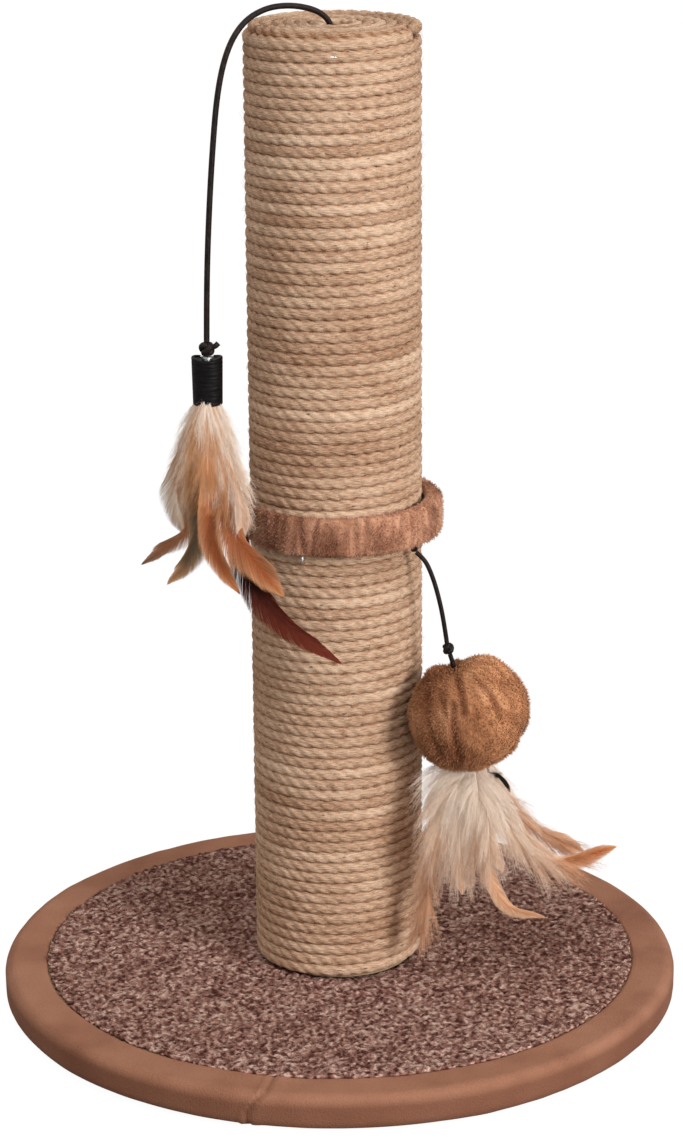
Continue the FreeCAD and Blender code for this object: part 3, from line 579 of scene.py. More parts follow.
# A painted shadow along one side of the crease and a painted highlight along the other.
crease_shadow = valley(aside - 0.0009, 0.0007) * showing
crease_highlight = valley(aside + 0.0008, 0.0006) * showing
hold(edging, fold=painted_shade + (0.6 - 0.6 * painted_shade) * crease_shadow, tip=0.8 * crease_highlight)
settle(edging, PLUSH_BROWN, "root", "plush_brown", "rim_cover")


# ------------------------------------------------------------------ carpet
# A disc of speckled loop carpet, glued to the board inside the edging.  Its loops stand
# close together on a woven backing, each a little higher, lower, paler or darker.

def loop_pile():
    """Mauve brown loops, flecked pale and dark, with painted shade down between them."""
    made = new_finish("loop_pile", roughness=0.95, specular_ior_level=0.2)
    spot = where(made)
    fleck = cloud(made, spot, 0.0017, 2.0)
    yarn = cloud(made, spot, 0.0006)
    share = weighed(made, (stored(made, "tone"), 0.5), (fleck, 0.5))
    shade = ramp(made, share, (0.34, colour(94, 54, 48)), (0.45, colour(156, 112, 100)),
                 (0.54, colour(192, 148, 134)), (0.66, colour(238, 206, 192)))
    # Painted shade: the lower a point lies between the loops, the darker it is.
    depth = ramp(made, stored(made, "height"), (0.1, (0.34, 0.25, 0.24, 1.0)),
                 (0.7, (1.0, 1.0, 1.0, 1.0)))
    return surfaced(made, mixed(made, 1.0, shade, depth, "MULTIPLY"), yarn, 0.0005)


def woven_back():
    """Beige jute backing in a plain weave of 2 mm."""
    made = new_finish("woven_back", roughness=0.9)
    spot = where(made)
    over = node(made, "TexWave", {"Vector": spot, "Scale": 500.0}, bands_direction="X")
    under = node(made, "TexWave", {"Vector": spot, "Scale": 500.0}, bands_direction="Y")
    weave = weighed(made, (over.outputs[1], 0.5), (under.outputs[1], 0.5))
    shade = ramp(made, weave, (0.2, colour(120, 96, 70)), (0.8, colour(172, 146, 112)))
    return surfaced(made, shade, weave, 0.0002)


CARPET_RADIUS = 0.1318
CARPET_HUB = 0.0004
CARPET_SIDES = 180
CARPET_BOTTOM, CARPET_BACK = 0.0155, 0.0163
LOOP_SPACING = 0.00156
LOOP_JITTER = 0.28
LOOP_LOW, LOOP_HIGH, LOOP_SPREAD = 0.0162, 0.0172, 0.0013
LOOP_RIPPLES = ((0.0004, 0.02, 6),)
POST_FOOT = 0.0335

reach, height = np.array(((CARPET_HUB, CARPET_BACK), (CARPET_RADIUS, CARPET_BACK),
                          (CARPET_RADIUS, CARPET_BOTTOM), (CARPET_HUB, CARPET_BOTTOM))).T
rings = round_axis(reach[:, None], full_turn(CARPET_SIDES), height[:, None])
backing = settle(capped("carpet_backing", rings), woven_back(), "root", "carpet_pile")

draw = np.random.default_rng(5)
reach = int(CARPET_RADIUS / LOOP_SPACING * 1.2)
across, along = np.meshgrid(np.arange(-reach, reach), np.arange(-reach, reach), indexing="ij")
spots = np.stack([across + along / 2.0, along * math.sqrt(0.75)], -1) * LOOP_SPACING
spots += draw.uniform(-LOOP_JITTER, LOOP_JITTER, spots.shape) * LOOP_SPACING
number = np.arange(across.size).reshape(across.shape)
corner, right, up, far = number[:-1, :-1], number[1:, :-1], number[:-1, 1:], number[1:, 1:]
loops = np.concatenate([np.stack([corner, right, up], -1), np.stack([right, far, up], -1)])
loops = loops.reshape(-1, 3)
spots = spots.reshape(-1, 2)
distance = np.linalg.norm(spots, axis=1)[loops]
loops = loops[(distance.max(1) < CARPET_RADIUS) & (distance.min(1) > POST_FOOT - 0.003)]
kept, loops = np.unique(loops, return_inverse=True)
loops = loops.reshape(-1, 3)
tops = spots[kept]
count = len(tops)
level = np.zeros(count)
flat = np.column_stack([tops, level])
heights = LOOP_HIGH + LOOP_SPREAD * draw.random(count)
heights += rippled(flat, LOOP_RIPPLES)
heights[np.linalg.norm(tops, axis=1) < POST_FOOT] = LOOP_HIGH
dips = tops[loops].mean(1)
points = np.concatenate([
    np.column_stack([tops, heights]),
    np.column_stack([tops, level + CARPET_BACK - 0.0002]),
    np.column_stack([dips, LOOP_LOW + 0.0003 * draw.random(len(dips))]),
])
dip = np.arange(len(loops)) + 2 * count
roof = np.concatenate([np.stack([loops[:, side], loops[:, (side + 1) % 3], dip], -1)
                       for side in range(3)])
edges = np.concatenate([loops[:, [side, (side + 1) % 3]] for side in range(3)])
code = edges[:, 0] * count + edges[:, 1]
rim = edges[~np.isin(code, edges[:, 1] * count + edges[:, 0])]
wall = np.stack([rim[:, 1], rim[:, 0], rim[:, 0] + count, rim[:, 1] + count], -1)
pile = shape("carpet_pile", points, roof, wall, loops[:, ::-1] + count)
tuft = 0.7 * draw.random(count) + 0.15 + 0.2 * waves(flat, 0.004, 7, 16)
tone = np.concatenate([tuft, tuft, tuft[loops].mean(1)])
# The height of each point, which sets the painted shade between the loops.
height = np.clip((points[:, 2] - LOOP_LOW) / (LOOP_HIGH + LOOP_SPREAD - LOOP_LOW), 0.0, 1.0)
hold(pile, tone=tone, height=height)
settle(pile, loop_pile(), "root", "carpet_pile", "carpet")


# ------------------------------------------------------------------ tube and top cap
# A spiral-wound cardboard tube stands on the carpet over the plug.  A thin plastic disc
# closes its top under the rope, and wire staples hold the rope's cut ends.

def wound_board():
    """Grey board: soft fibres, and the helical seam of its outer ply every 60 mm."""
    made = new_finish("wound_board", roughness=0.85)
    spot = node(made, "SeparateXYZ", {0: where(made)})
    behind = weighed(made, (spot.outputs[1], -1.0))
    turn = sums(made, "ARCTAN2", spot.outputs[0], behind)
    climb = weighed(made, (spot.outputs[2], 1.0 / 0.06), (turn, 0.5 / math.pi))
    seam = sums(made, "PINGPONG", climb, 0.5)
    fibre = cloud(made, where(made), 0.0008, 4.0, (1.0, 1.0, 3.0))
    shade = ramp(made, fibre, (0.35, colour(140, 116, 88)), (0.65, colour(172, 148, 116)))
    shade = mixed(made, sums(made, "LESS_THAN", seam, 0.012), shade, colour(104, 84, 62))
    return surfaced(made, shade, fibre, 0.0002)


dress(wound_board(), "post_tube")
dress(speckled("moulded_cap", 0.0016, colour(186, 178, 164), colour(206, 198, 186), 0.0001,
               roughness=0.45), "top_cap")
dress(bright_metal("staple_wire", colour(188, 186, 184), colour(226, 224, 220)),
      "rope_staples", "ring_staples")


# ------------------------------------------------------------------ rope
# Four lengths of 5 mm three-strand jute rope are glued round the tube, turn on turn, and
# stapled where they meet.  The last of it lies in a flat spiral on the top.

def jute():
    """Dry golden jute: fibres drawn out along the rope, painted shade in the grooves, and dark flecks.
    """
    made = new_finish("jute", roughness=0.85, specular_ior_level=0.3)
    x, y, z = node(made, "SeparateXYZ", {0: where(made)}).outputs
    turn = sums(made, "ARCTAN2", x, weighed(made, (y, -1.0)))
    squares = sums(made, "ADD", sums(made, "MULTIPLY", x, x), sums(made, "MULTIPLY", y, y))
    out = sums(made, "SQRT", squares, 0.0)
    arc = weighed(made, (turn, ROPE_RADIUS))
    unrolled = node(made, "CombineXYZ", {0: arc, 1: z, 2: out}).outputs[0]
    streak = cloud(made, unrolled, 0.0005, 3.0, (0.16, 1.0, 1.0))
    patch = cloud(made, unrolled, 0.012, 2.0, (0.35, 1.0, 1.0))
    fleck = cloud(made, unrolled, 0.0016, 2.0, (0.4, 1.0, 1.0))
    share = weighed(made, (streak, 0.55), (patch, 0.25), (stored(made, "tone"), 0.2))
    shade = ramp(made, share, (0.34, colour(150, 110, 82)), (0.48, colour(192, 158, 131)),
                 (0.62, colour(224, 196, 170)))
    broken = cloud(made, unrolled, 0.005, 2.0, (0.6, 1.0, 1.0))
    # Painted shade in the grooves between strands and between turns, broken up in blots.
    painted_shade = weighed(made, (stored(made, "groove"), 0.75), (broken, 0.6))
    painted_shade = ramp(made, painted_shade, (0.42, (1.0, 1.0, 1.0, 1.0)), (1.0, (0.62, 0.47, 0.35, 1.0)))
    shade = mixed(made, 1.0, shade, painted_shade, "MULTIPLY")
    bark = ramp(made, fleck, (0.68, (0.0, 0.0, 0.0, 1.0)), (0.74, (0.75, 0.75, 0.75, 1.0)))
    shade = mixed(made, bark, shade, colour(88, 58, 38))
    return surfaced(made, shade, streak, 0.0007)


ROPE_RADIUS = 0.035
ROPE_THICK = 0.0051
ROPE_PITCH = 0.00485
ROPE_FOOT = 0.0204
ROPE_START = 90.0
ROPE_TURNS = (18.0, 19.0, 23.85, 23.85)
ROPE_GAP = (0.0043 + 0.0005) / ROPE_RADIUS / (2.0 * math.pi)
ROPE_LAY = 0.0180
ROPE_WIDE, ROPE_DEEP, ROPE_SQUARE = 1.14, 0.94, 0.86
ROPE_STEP = 0.0012
STRAND_POINTS = 6
STRAND_RADIUS = 0.71 * ROPE_THICK / 2.0
ROPE_FATTER = ((0.05, 0.031, 0), (0.04, 0.0087, 1))
ROPE_SLIP = ((0.5, 0.12, 2), (0.35, 0.016, 3))
ROPE_BULGE = ((0.00012, 0.004, 4),)
ROPE_TONE = ((0.5, 0.21, 5),)
SPIRAL_HEIGHT = 0.4327
SPIRAL_OUTER = 0.0350
SPIRAL_TURNS = 5.68
SPIRAL_LENGTH = 0.735
SPIRAL_TUCK = 0.0023
SPIRAL_TUCK_TURNS = 0.75
JUTE = jute()


def run_along(line):
    """How far along a line each of its points lies."""
    return np.concatenate([[0.0], np.cumsum(np.linalg.norm(np.diff(line, axis=0), axis=1))])


def squarer(pairs, power):
    """Points of a circle, pushed out towards a square's corners by a power below 1."""
    return np.sign(pairs) * np.abs(pairs) ** power


def laid_rope(name, line, lean, seed, node_name):
    """Three strands laid together along a line, closed at both ends like a clean cut."""
    rows, columns = len(line), 3 * STRAND_POINTS
    along = run_along(line)
    part = (np.arange(columns) % STRAND_POINTS + 0.5) / STRAND_POINTS - 0.5
    bend = part * 2.0 * math.pi / 3.0
    strand = ROPE_THICK / 2.0 - STRAND_RADIUS
    reach = strand * np.cos(bend) + np.sqrt(STRAND_RADIUS ** 2 - (strand * np.sin(bend)) ** 2)
    spots = np.column_stack([along, np.zeros((rows, 2))])
    fat = 1.0 + rippled(spots, ROPE_FATTER, seed)
    twist = along * (2.0 * math.pi / ROPE_LAY) + rippled(spots, ROPE_SLIP, seed)
    angle = full_turn(columns) + twist[:, None]
    ring = squarer(np.stack([-np.cos(angle), np.sin(angle)], -1), ROPE_SQUARE)
    ring *= (reach * fat[:, None])[..., None] * (ROPE_WIDE, ROPE_DEEP)
    crease = np.clip(np.abs(ring[..., 0]) * 2.0 / ROPE_PITCH * 4.0 - 3.0, 0.0, 1.0)
    rings = swept(line, lean, ring)
    rings += rippled(rings, ROPE_BULGE, seed)[..., None] * unit(lean)[:, None]
    # How deep a point lies between the strands, and where the turns meet: both get painted shade.
    depth = 1.0 - (reach - reach.min()) / (reach.max() - reach.min())
    tone = 0.5 + rippled(spots, ROPE_TONE, seed)
    piece = hold(capped(name, rings), groove=crease * (0.35 + 0.65 * depth) + 0.2 * depth,
                 tone=np.broadcast_to(tone[:, None], (rows, columns)))
    settle(piece, JUTE, "root", "jute", node_name)


first = 0.0
for number, turns_here in enumerate(ROPE_TURNS, start=1):
    length = 2.0 * math.pi * ROPE_RADIUS * (turns_here - 2.0 * ROPE_GAP)
    stations = int(length / ROPE_STEP)
    turn = np.linspace(first + ROPE_GAP, first + turns_here - ROPE_GAP, stations)
    angle = np.radians(ROPE_START) + turn * 2.0 * math.pi
    line = round_axis(ROPE_RADIUS, angle, ROPE_FOOT + ROPE_PITCH * turn)
    laid_rope("rope_%d" % number, line, round_axis(1.0, angle, 0.0), 20 * number,
              "rope_length_%d" % number)
    first += turns_here

stations = int(SPIRAL_LENGTH / ROPE_STEP)
turn = np.linspace(0.0, SPIRAL_TURNS, stations)
angle = np.radians(ROPE_START) + (turn + first) * 2.0 * math.pi
tuck = np.clip((turn - SPIRAL_TURNS) / SPIRAL_TUCK_TURNS + 1.0, 0.0, 1.0) ** 2
inward = SPIRAL_OUTER - ROPE_PITCH * turn - SPIRAL_TUCK * tuck
line = round_axis(inward, angle, SPIRAL_HEIGHT)
laid_rope("rope_top", line, np.broadcast_to(UPRIGHT, line.shape), 120, "rope_top_spiral")


# ------------------------------------------------------------------ loose jute fibres
# Fine ends of jute stand off the rope all over, most of them lying nearly along it.

def fibres(spines, flats, widths, flatness=1.0):
    """Closed pointed fibres along rows of points; widths are half widths at each point.

    Gives their points, one row a fibre, and their faces.
    """
    count, stations = spines.shape[:2]
    sides = FIBRE_SIDES
    way = unit(np.gradient(spines, axis=1))
    across = unit(np.cross(way, np.cross(flats, way)))[:, :-1, None]
    up = np.cross(across[:, :, 0], way[:, :-1])[:, :, None]
    pairs = circle(sides)
    half = widths[:, :-1, None, None]
    rings = spines[:, :-1, None] + across * pairs[:, :1] * half + up * pairs[:, 1:] * half * flatness
    points = np.concatenate([rings.reshape(count, -1, 3), spines[:, -1:]], 1)
    each = points.shape[1]
    start = (np.arange(count) * each)[:, None, None]
    body = (net(stations - 1, sides)[None] + start).reshape(-1, 4)
    ring = np.arange(sides)
    last = ring + (stations - 2) * sides
    point = np.stack([last, np.roll(last, -1), np.full(sides, each - 1)], -1)
    point = (point[None] + start).reshape(-1, 3)
    foot = (ring[None, None, ::-1] + start).reshape(-1, sides)
    return points, (body, point, foot)


FIBRE_SIDES = 3
LOOSE_FIBRES = 5200
LOOSE_THICK = 0.00007
LOOSE_POINTS = 5
LOOSE_LENGTHS = (0.003, 0.008)
LOOSE_LIFTS = (0.02, 0.28)

draw = np.random.default_rng(31)
angle = draw.uniform(0.0, 2.0 * math.pi, LOOSE_FIBRES)
height = draw.uniform(ROPE_FOOT, ROPE_FOOT + ROPE_PITCH * sum(ROPE_TURNS), LOOSE_FIBRES)
out = round_axis(1.0, angle, 0.0)
onward = np.cross(UPRIGHT, out) * draw.choice((-1.0, 1.0), (LOOSE_FIBRES, 1))
length = draw.uniform(*LOOSE_LENGTHS, (LOOSE_FIBRES, 1))
run = (onward + UPRIGHT * draw.normal(0.0, 0.35, (LOOSE_FIBRES, 1))) * length
lift = out * length * draw.uniform(*LOOSE_LIFTS, (LOOSE_FIBRES, 1))
droop = UPRIGHT * length * draw.normal(0.0, 0.12, (LOOSE_FIBRES, 1))
skin = ROPE_RADIUS + ROPE_THICK / 2.0 - 0.0007
start = out * skin + UPRIGHT * height[:, None]
share = np.linspace(0.0, 1.0, LOOSE_POINTS)[None, :, None]
spines = start[:, None] + (run + lift)[:, None] * share + droop[:, None] * share ** 2
reach = np.linalg.norm(spines[..., :2], axis=-1, keepdims=True)
spines[..., :2] *= np.maximum(reach, skin + 0.0011 * share) / reach
widths = np.full((LOOSE_FIBRES, LOOSE_POINTS), LOOSE_THICK / 2.0)
points, faces = fibres(spines, np.broadcast_to(out[:, None], spines.shape), widths)
fuzz = shape("loose_fibres", points, *faces)
hold(fuzz, tone=np.broadcast_to(draw.uniform(0.5, 1.2, (LOOSE_FIBRES, 1)), points.shape[:2]))
settle(fuzz, JUTE, "root", "jute")


# ------------------------------------------------------------------ hoop
# A moulded hoop, closely covered in tan plush that is gathered into uneven upright
# puckers.  It sits loose round the post on four staples.

def scatter(spots, out, count, seed):
    """Evenly scattered places on a net, as points and the ways out of it there."""
    columns = spots.shape[1]
    draw = np.random.default_rng(seed)
    right, down = np.roll(spots, -1, 1) - spots, np.roll(spots, -1, 0) - spots
    area = np.linalg.norm(np.cross(right, down), axis=-1)[:-1].ravel()
    cells = draw.choice(area.size, count, p=area / area.sum())
    row, column = cells // columns, cells % columns
    beside = (column + 1) % columns
    low, high = draw.random((count, 1)), draw.random((count, 1))
    placed = []
    for values in (spots, out):
        near = values[row, column] * (1.0 - low) + values[row, beside] * low
        far = values[row + 1, column] * (1.0 - low) + values[row + 1, beside] * low
        placed.append(near * (1.0 - high) + far * high)
    return placed[0], unit(placed[1])


def nap(name, spots, out, count, length, lie, seed, finish, body):
    """Short pointed tufts standing on a net, combed the way that the pile lies."""
    draw = np.random.default_rng(seed + 1)
    roots, ways = scatter(spots, out, count, seed)
    patch = np.stack([waves(roots, 0.012, seed + number) for number in (2, 3, 4)], -1)
    comb = unit(ways + np.asarray(lie) + 0.7 * patch + draw.normal(0.0, 0.3, (count, 3)))
    comb += ways * np.maximum(0.0, 0.25 - (comb * ways).sum(-1, keepdims=True))
    sizes = length * draw.uniform(*TUFT_SIZES, (count, 1))
    share = np.linspace(0.0, 1.0, TUFT_POINTS)[None, :, None]
    spines = (roots - ways * TUFT_ROOT)[:, None]
    spines = spines + (ways * sizes * 0.55)[:, None] * share * (2.0 - share)
    spines = spines + (comb * sizes * 0.6)[:, None] * share ** 2
    widths = np.linspace(*TUFT_WIDTHS, TUFT_POINTS)[None] * draw.uniform(0.8, 1.3, (count, 1))
    points, faces = fibres(spines, np.cross(comb, ways)[:, None] + 0.01, widths)
    tips = np.concatenate([np.zeros(FIBRE_SIDES), np.full(FIBRE_SIDES, 0.6), np.ones(1)])
    piece = hold(shape(name, points, *faces), tip=tips * draw.uniform(0.3, 1.0, (count, 1)))
    settle(piece, finish, body, "plush_tan")


def outward(spots, round_rows):
    """The ways out of a net at its points."""
    along = np.roll(spots, -1, 1) - np.roll(spots, 1, 1)
    if round_rows:
        down = np.roll(spots, -1, 0) - np.roll(spots, 1, 0)
    else:
        down = np.gradient(spots, axis=0)
    return unit(np.cross(down, along))


def wrapped(angle):
    """The same angle, brought within half a turn of nothing."""
    return (angle + math.pi) % (2.0 * math.pi) - math.pi


HOOP_BORE, HOOP_OUTER, HOOP_SHIFT = 0.0383, 0.0432, 0.0023
HOOP_LOW, HOOP_HIGH = 0.2155, 0.2315
HOOP_STATIONS = 460
HOOP_COLUMNS = 34
HOOP_CORNER = 0.42
HOOP_RIPPLES = ((0.0003, 0.012, 43),)
HOOP_PUFF = 0.0004
PUCKER_LEAST, PUCKER_MOST = 0.08, 0.15
PUCKER_LEAN = 0.05
PUCKER_DEPTHS = (0.3, 0.95)
PUCKER_WIDTHS = (0.0008, 0.0018)
PUCKER_SINK = 0.0010
TUFT_POINTS = 3
TUFT_WIDTHS = (0.00017, 0.00008)
TUFT_SIZES = (0.6, 1.25)
TUFT_ROOT = 0.0002
HOOP_TUFTS, HOOP_TUFT_LENGTH = 13000, 0.0013
PLUSH_HOOP = velvet("plush_hoop", colour(104, 58, 38), colour(196, 144, 116),
                    colour(228, 186, 158), nap=0.016, pile=0.0006)

draw = np.random.default_rng(41)
turns = full_turn(HOOP_STATIONS)[:, None]
corner = squarer(circle(HOOP_COLUMNS), HOOP_CORNER)
outer = HOOP_SHIFT * np.cos(turns) + np.sqrt(HOOP_OUTER ** 2 - (HOOP_SHIFT * np.sin(turns)) ** 2)
across = 0.5 + 0.5 * corner[:, 0]
reach = HOOP_BORE + (outer - HOOP_BORE) * across
height = (HOOP_LOW + HOOP_HIGH) / 2.0 + (HOOP_HIGH - HOOP_LOW) / 2.0 * corner[:, 1]
folds = np.zeros_like(reach)
place = 0.0
while place < 2.0 * math.pi - PUCKER_LEAST:
    lean = draw.uniform(-PUCKER_LEAN, PUCKER_LEAN)
    depth = draw.uniform(*PUCKER_DEPTHS)
    width = draw.uniform(*PUCKER_WIDTHS)
    aside = wrapped(turns - place - lean * corner[:, 1])
    folds += depth * valley(aside * HOOP_OUTER, width)
    place += draw.uniform(PUCKER_LEAST, PUCKER_MOST)
free = np.clip(across * 1.4 - 0.2, 0.0, 1.0)
folds = np.minimum(folds, 1.0) * free
flat = round_axis(reach, turns, height)
out = outward(flat, True)
swell = (rippled(flat, HOOP_RIPPLES) + HOOP_PUFF) * free - PUCKER_SINK * folds
spots = flat + out * swell[..., None]
hoop = looped("hoop_plush", spots)
# Painted shade in the puckers and on the hoop's left side.
painted_side_shade = np.clip(0.2 - 0.9 * np.cos(turns), 0.0, 1.0)
hold(hoop, fold=0.75 * folds + (0.8 - 0.55 * folds) * painted_side_shade)
settle(hoop, PLUSH_HOOP, "ring", "plush_tan", "ring_cover")

outside = [np.concatenate([values, values[:1]])[:, across > 0.2] for values in (spots, out)]
nap("hoop_nap", *outside, HOOP_TUFTS, HOOP_TUFT_LENGTH, (0.0, 0.0, -0.6), 50, PLUSH_HOOP, "ring")
dress(speckled("moulded_hoop", 0.0014, colour(52, 47, 44), colour(74, 68, 62), 0.0001,
               roughness=0.5), "ring_core")


# ------------------------------------------------------------------ ball
# A foam ball in a circle of the same tan plush, gathered at the top round its cord and at
# the bottom round the quills, so that it folds between them.

BALL_MIDDLE = np.array((0.0572, -0.0298, 0.1398))
BALL_RADIUS, BALL_TOP, BALL_FOOT = 0.0256, 0.0234, 0.0224
BALL_HOLE = 0.0049
BALL_FULLNESS = 2.25
BALL_ROWS, BALL_COLUMNS = 110, 240
FRONT_FOLDS = (
    (1.0, 0.0022, ((-0.0062, 0.0190), (-0.0046, 0.0120), (-0.0036, 0.0070), (-0.0030, 0.0010))),
    (1.0, 0.0025, ((-0.0070, 0.0040), (-0.0074, -0.0050), (-0.0060, -0.0130), (-0.0042, -0.0190))),
    (0.9, 0.0024, ((-0.0178, 0.0100), (-0.0176, -0.0020), (-0.0154, -0.0110), (-0.0128, -0.0170))),
    (0.7, 0.0019, ((-0.0126, 0.0090), (-0.0114, 0.0030), (-0.0100, -0.0020))),
    (0.9, 0.0018, ((0.0006, 0.0180), (0.0060, 0.0120), (0.0100, 0.0070), (0.0134, 0.0006))),
    (0.35, 0.0024, ((-0.0080, 0.0180), (-0.0136, 0.0100), (-0.0150, 0.0010), (-0.0126, -0.0090))),
    (0.35, 0.0020, ((-0.0020, 0.0180), (0.0012, 0.0090), (0.0022, -0.0020), (0.0006, -0.0190))),
    (0.4, 0.0020, ((0.0050, 0.0190), (0.0134, 0.0130), (0.0186, 0.0040), (0.0186, -0.0060))),
    (0.3, 0.0022, ((0.0060, 0.0020), (0.0080, -0.0060), (0.0070, -0.0130), (0.0036, -0.0200))),
)
BACK_FOLDS, BACK_START, BACK_SPAN = 9, -30.0, 240.0
BACK_WIDTH = 0.0012
DIMPLE, DIMPLE_WIDTH = 0.0012, 0.0045
GATHERS = 17.0
FOLD_SINK = 0.0022
BALL_RIPPLES = ((0.0008, 0.011, 62), (0.0003, 0.005, 63))
BALL_BUMPS = (
    (0.0026, (-0.0085, 0.0, 0.0215), 0.005),
    (0.0030, (0.0130, 0.0, 0.0200), 0.006),
    (-0.0032, (0.0170, 0.0, -0.0170), 0.010),
)
BALL_TUFTS, BALL_TUFT_LENGTH = 15000, 0.0015
PLUSH_TAN = velvet("plush_tan", colour(96, 46, 24), colour(184, 128, 90), colour(226, 174, 132),
                   nap=0.022, pile=0.0008)

ball_up = unit(TOY_KNOT - BALL_MIDDLE)
ball_right = unit(np.cross((0.0, 1.0, 0.0), ball_up))
ball_axes = np.stack([ball_right, np.cross(ball_up, ball_right), ball_up])
lowest = math.pi - math.asin((BALL_HOLE / BALL_RADIUS) ** (BALL_FULLNESS / 2.0))
dip_angle = np.linspace(0.006, lowest, BALL_ROWS)[:, None]
turns = full_turn(BALL_COLUMNS)[None]
power = 2.0 / BALL_FULLNESS
reach = BALL_RADIUS * np.sin(dip_angle) ** power
height = np.where(dip_angle < math.pi / 2.0, BALL_TOP, -BALL_FOOT)
height = height * np.abs(np.cos(dip_angle)) ** power - DIMPLE * valley(reach, DIMPLE_WIDTH)
flat = round_axis(reach, turns, height)

camera_way = unit(np.array(CAMERA_SPOT) - BALL_MIDDLE)
camera_right = unit(np.cross(UPRIGHT, camera_way))
camera_up = np.cross(camera_way, camera_right)
folds = np.zeros(flat.shape[:2])
for depth, width, chain in FRONT_FOLDS:
    spots = []
    for right, up in chain:
        away = math.sqrt(max(0.0, BALL_RADIUS ** 2 - right ** 2 - up ** 2))
        spots.append(ball_axes @ (camera_right * right + camera_up * up + camera_way * away))
    for start, end in zip(spots, spots[1:]):
        step = end - start
        along = np.clip((flat - start) @ step / (step @ step), 0.0, 1.0)
        aside = np.linalg.norm(flat - start - along[..., None] * step, axis=-1)
        folds = np.maximum(folds, depth * valley(aside, width))
draw = np.random.default_rng(61)
for number in range(BACK_FOLDS):
    share = (number + draw.uniform(0.1, 0.9)) / BACK_FOLDS
    place = math.radians(BACK_START + BACK_SPAN * share)
    drift = draw.uniform(-0.25, 0.25)
    depth = draw.uniform(0.4, 1.0)
    aside = wrapped(turns - place - drift * np.cos(dip_angle))
    ends = np.abs(np.cos(dip_angle)) ** 0.7 * 0.8 + 0.2
    folds = np.maximum(folds, depth * ends * valley(aside * reach, BACK_WIDTH))
gathers = 0.5 + 0.5 * np.cos(turns * GATHERS + 1.5 * np.sin(turns * 3.0))
folds = np.maximum(folds, 0.6 * gathers * valley(reach - 0.004, 0.006))
out = outward(flat, False)
swell = rippled(flat, BALL_RIPPLES) - FOLD_SINK * folds
for height, middle, width in BALL_BUMPS:
    swell += height * valley(np.linalg.norm(flat - middle, axis=-1), width)
local = flat + out * swell[..., None]
deeper = [local[-1] * (0.96, 0.96, 1.0) + (0.0, 0.0, rise) for rise in (0.0006, 0.004)]
local = np.concatenate([local, np.stack(deeper)])
spots = local @ ball_axes + BALL_MIDDLE
ball = capped("ball_plush", spots)
# Painted shade in the folds and gathers, inside the hole at the foot, and on the ball's left side.
painted_side_shade = np.clip(0.28 - 0.7 * (flat @ ball_axes)[..., 0] / BALL_RADIUS, 0.0, 0.7)
folds = 0.9 * folds ** 1.5 + (1.0 - 0.9 * folds ** 1.5) * painted_side_shade
hold(ball, fold=np.concatenate([folds, np.ones((2, BALL_COLUMNS))]))
settle(ball, PLUSH_TAN, "ball", "plush_tan", "ball_cover")

nap("ball_nap", spots[4:-3], (out @ ball_axes)[4:-1], BALL_TUFTS, BALL_TUFT_LENGTH,
    -0.5 * ball_up, 70, PLUSH_TAN, "ball")
dress(speckled("foam_beads", 0.0024, colour(228, 226, 220), colour(244, 243, 240), 0.0004,
               roughness=0.8), "ball_core")


# ------------------------------------------------------------------ black cap
# A soft black plastic cap holds the quills of the upper toy.  Its rim stands up in two
# low ears beside a pressed metal eyelet that the stiff cord comes through.

def soft_black():
    """Soft black plastic, faintly ribbed round, dusty in blots and browner along its bottom edge."""
    made = new_finish("soft_black", roughness=0.5, specular_ior_level=0.12)
    spot = where(made)
    rib = cloud(made, spot, 0.0011, 2.0, (0.15, 0.15, 1.0))
    dust = cloud(made, spot, 0.003)
    shade = ramp(made, dust, (0.4, colour(7, 6, 7)), (0.75, colour(20, 17, 18)))
    shade = mixed(made, weighed(made, (stored(made, "fold"), 0.7)), shade, colour(70, 34, 28))
    return surfaced(made, shade, rib, 0.0005)


CAP_BOTTOM, CAP_TOP = 0.2781, 0.2981
CAP_SIDES = 96
CAP_EARS, CAP_LIP = 0.0011, 0.003
CAP_SQUEEZE = 0.012
RIB_HEIGHT, RIB_PITCH, RIB_START = 0.00005, 0.0015, 0.290
CAP_OUTLINE = (
    (0.0050, CAP_BOTTOM),
    (0.0062, CAP_BOTTOM, 0.0004),
    (0.00655, CAP_TOP, 0.0005),
    (0.0056, CAP_TOP, 0.0003),
    (0.0054, CAP_TOP - 0.0009, 0.0003),
    (0.0021, CAP_TOP - 0.0009, 0.0002),
    (0.0021, CAP_TOP - 0.0022),
    (0.0050, CAP_TOP - 0.0026),
)

outline = rounded(CAP_OUTLINE, 0.0005)
turns = full_turn(CAP_SIDES)
spots, out = turned(outline, turns)
ears = np.clip((outline[:, 1] - CAP_TOP) / CAP_LIP + 1.0, 0.0, 1.0) * (outline[:, 0] > 0.0045)
spots[..., 2] += ears * (CAP_EARS * np.cos(turns)[:, None] ** 2 - 0.0003)
squeeze = 1.0 + CAP_SQUEEZE * np.cos(2.0 * turns + 0.6)
spots[..., :2] *= squeeze[:, None, None]
ribs = (outline[:, 0] > 0.0060) * np.clip((outline[:, 1] - RIB_START) / 0.006, 0.0, 1.0)
ribs = ribs * RIB_HEIGHT * np.sin(outline[:, 1] * 2.0 * math.pi / RIB_PITCH)
spots += out * ribs[..., None]
spots += WAND_PIVOT * (1.0, 1.0, 0.0)
hem = valley(outline[:, 1] - CAP_BOTTOM, 0.0007)
cap = hold(looped("black_cap", spots), fold=np.broadcast_to(hem, spots.shape[:2]))
settle(cap, soft_black(), "wand_toy", "black_plastic", "ferrule")
dress(bright_metal("eyelet_metal", colour(196, 196, 198), colour(232, 232, 232)), "ferrule_eyelet")


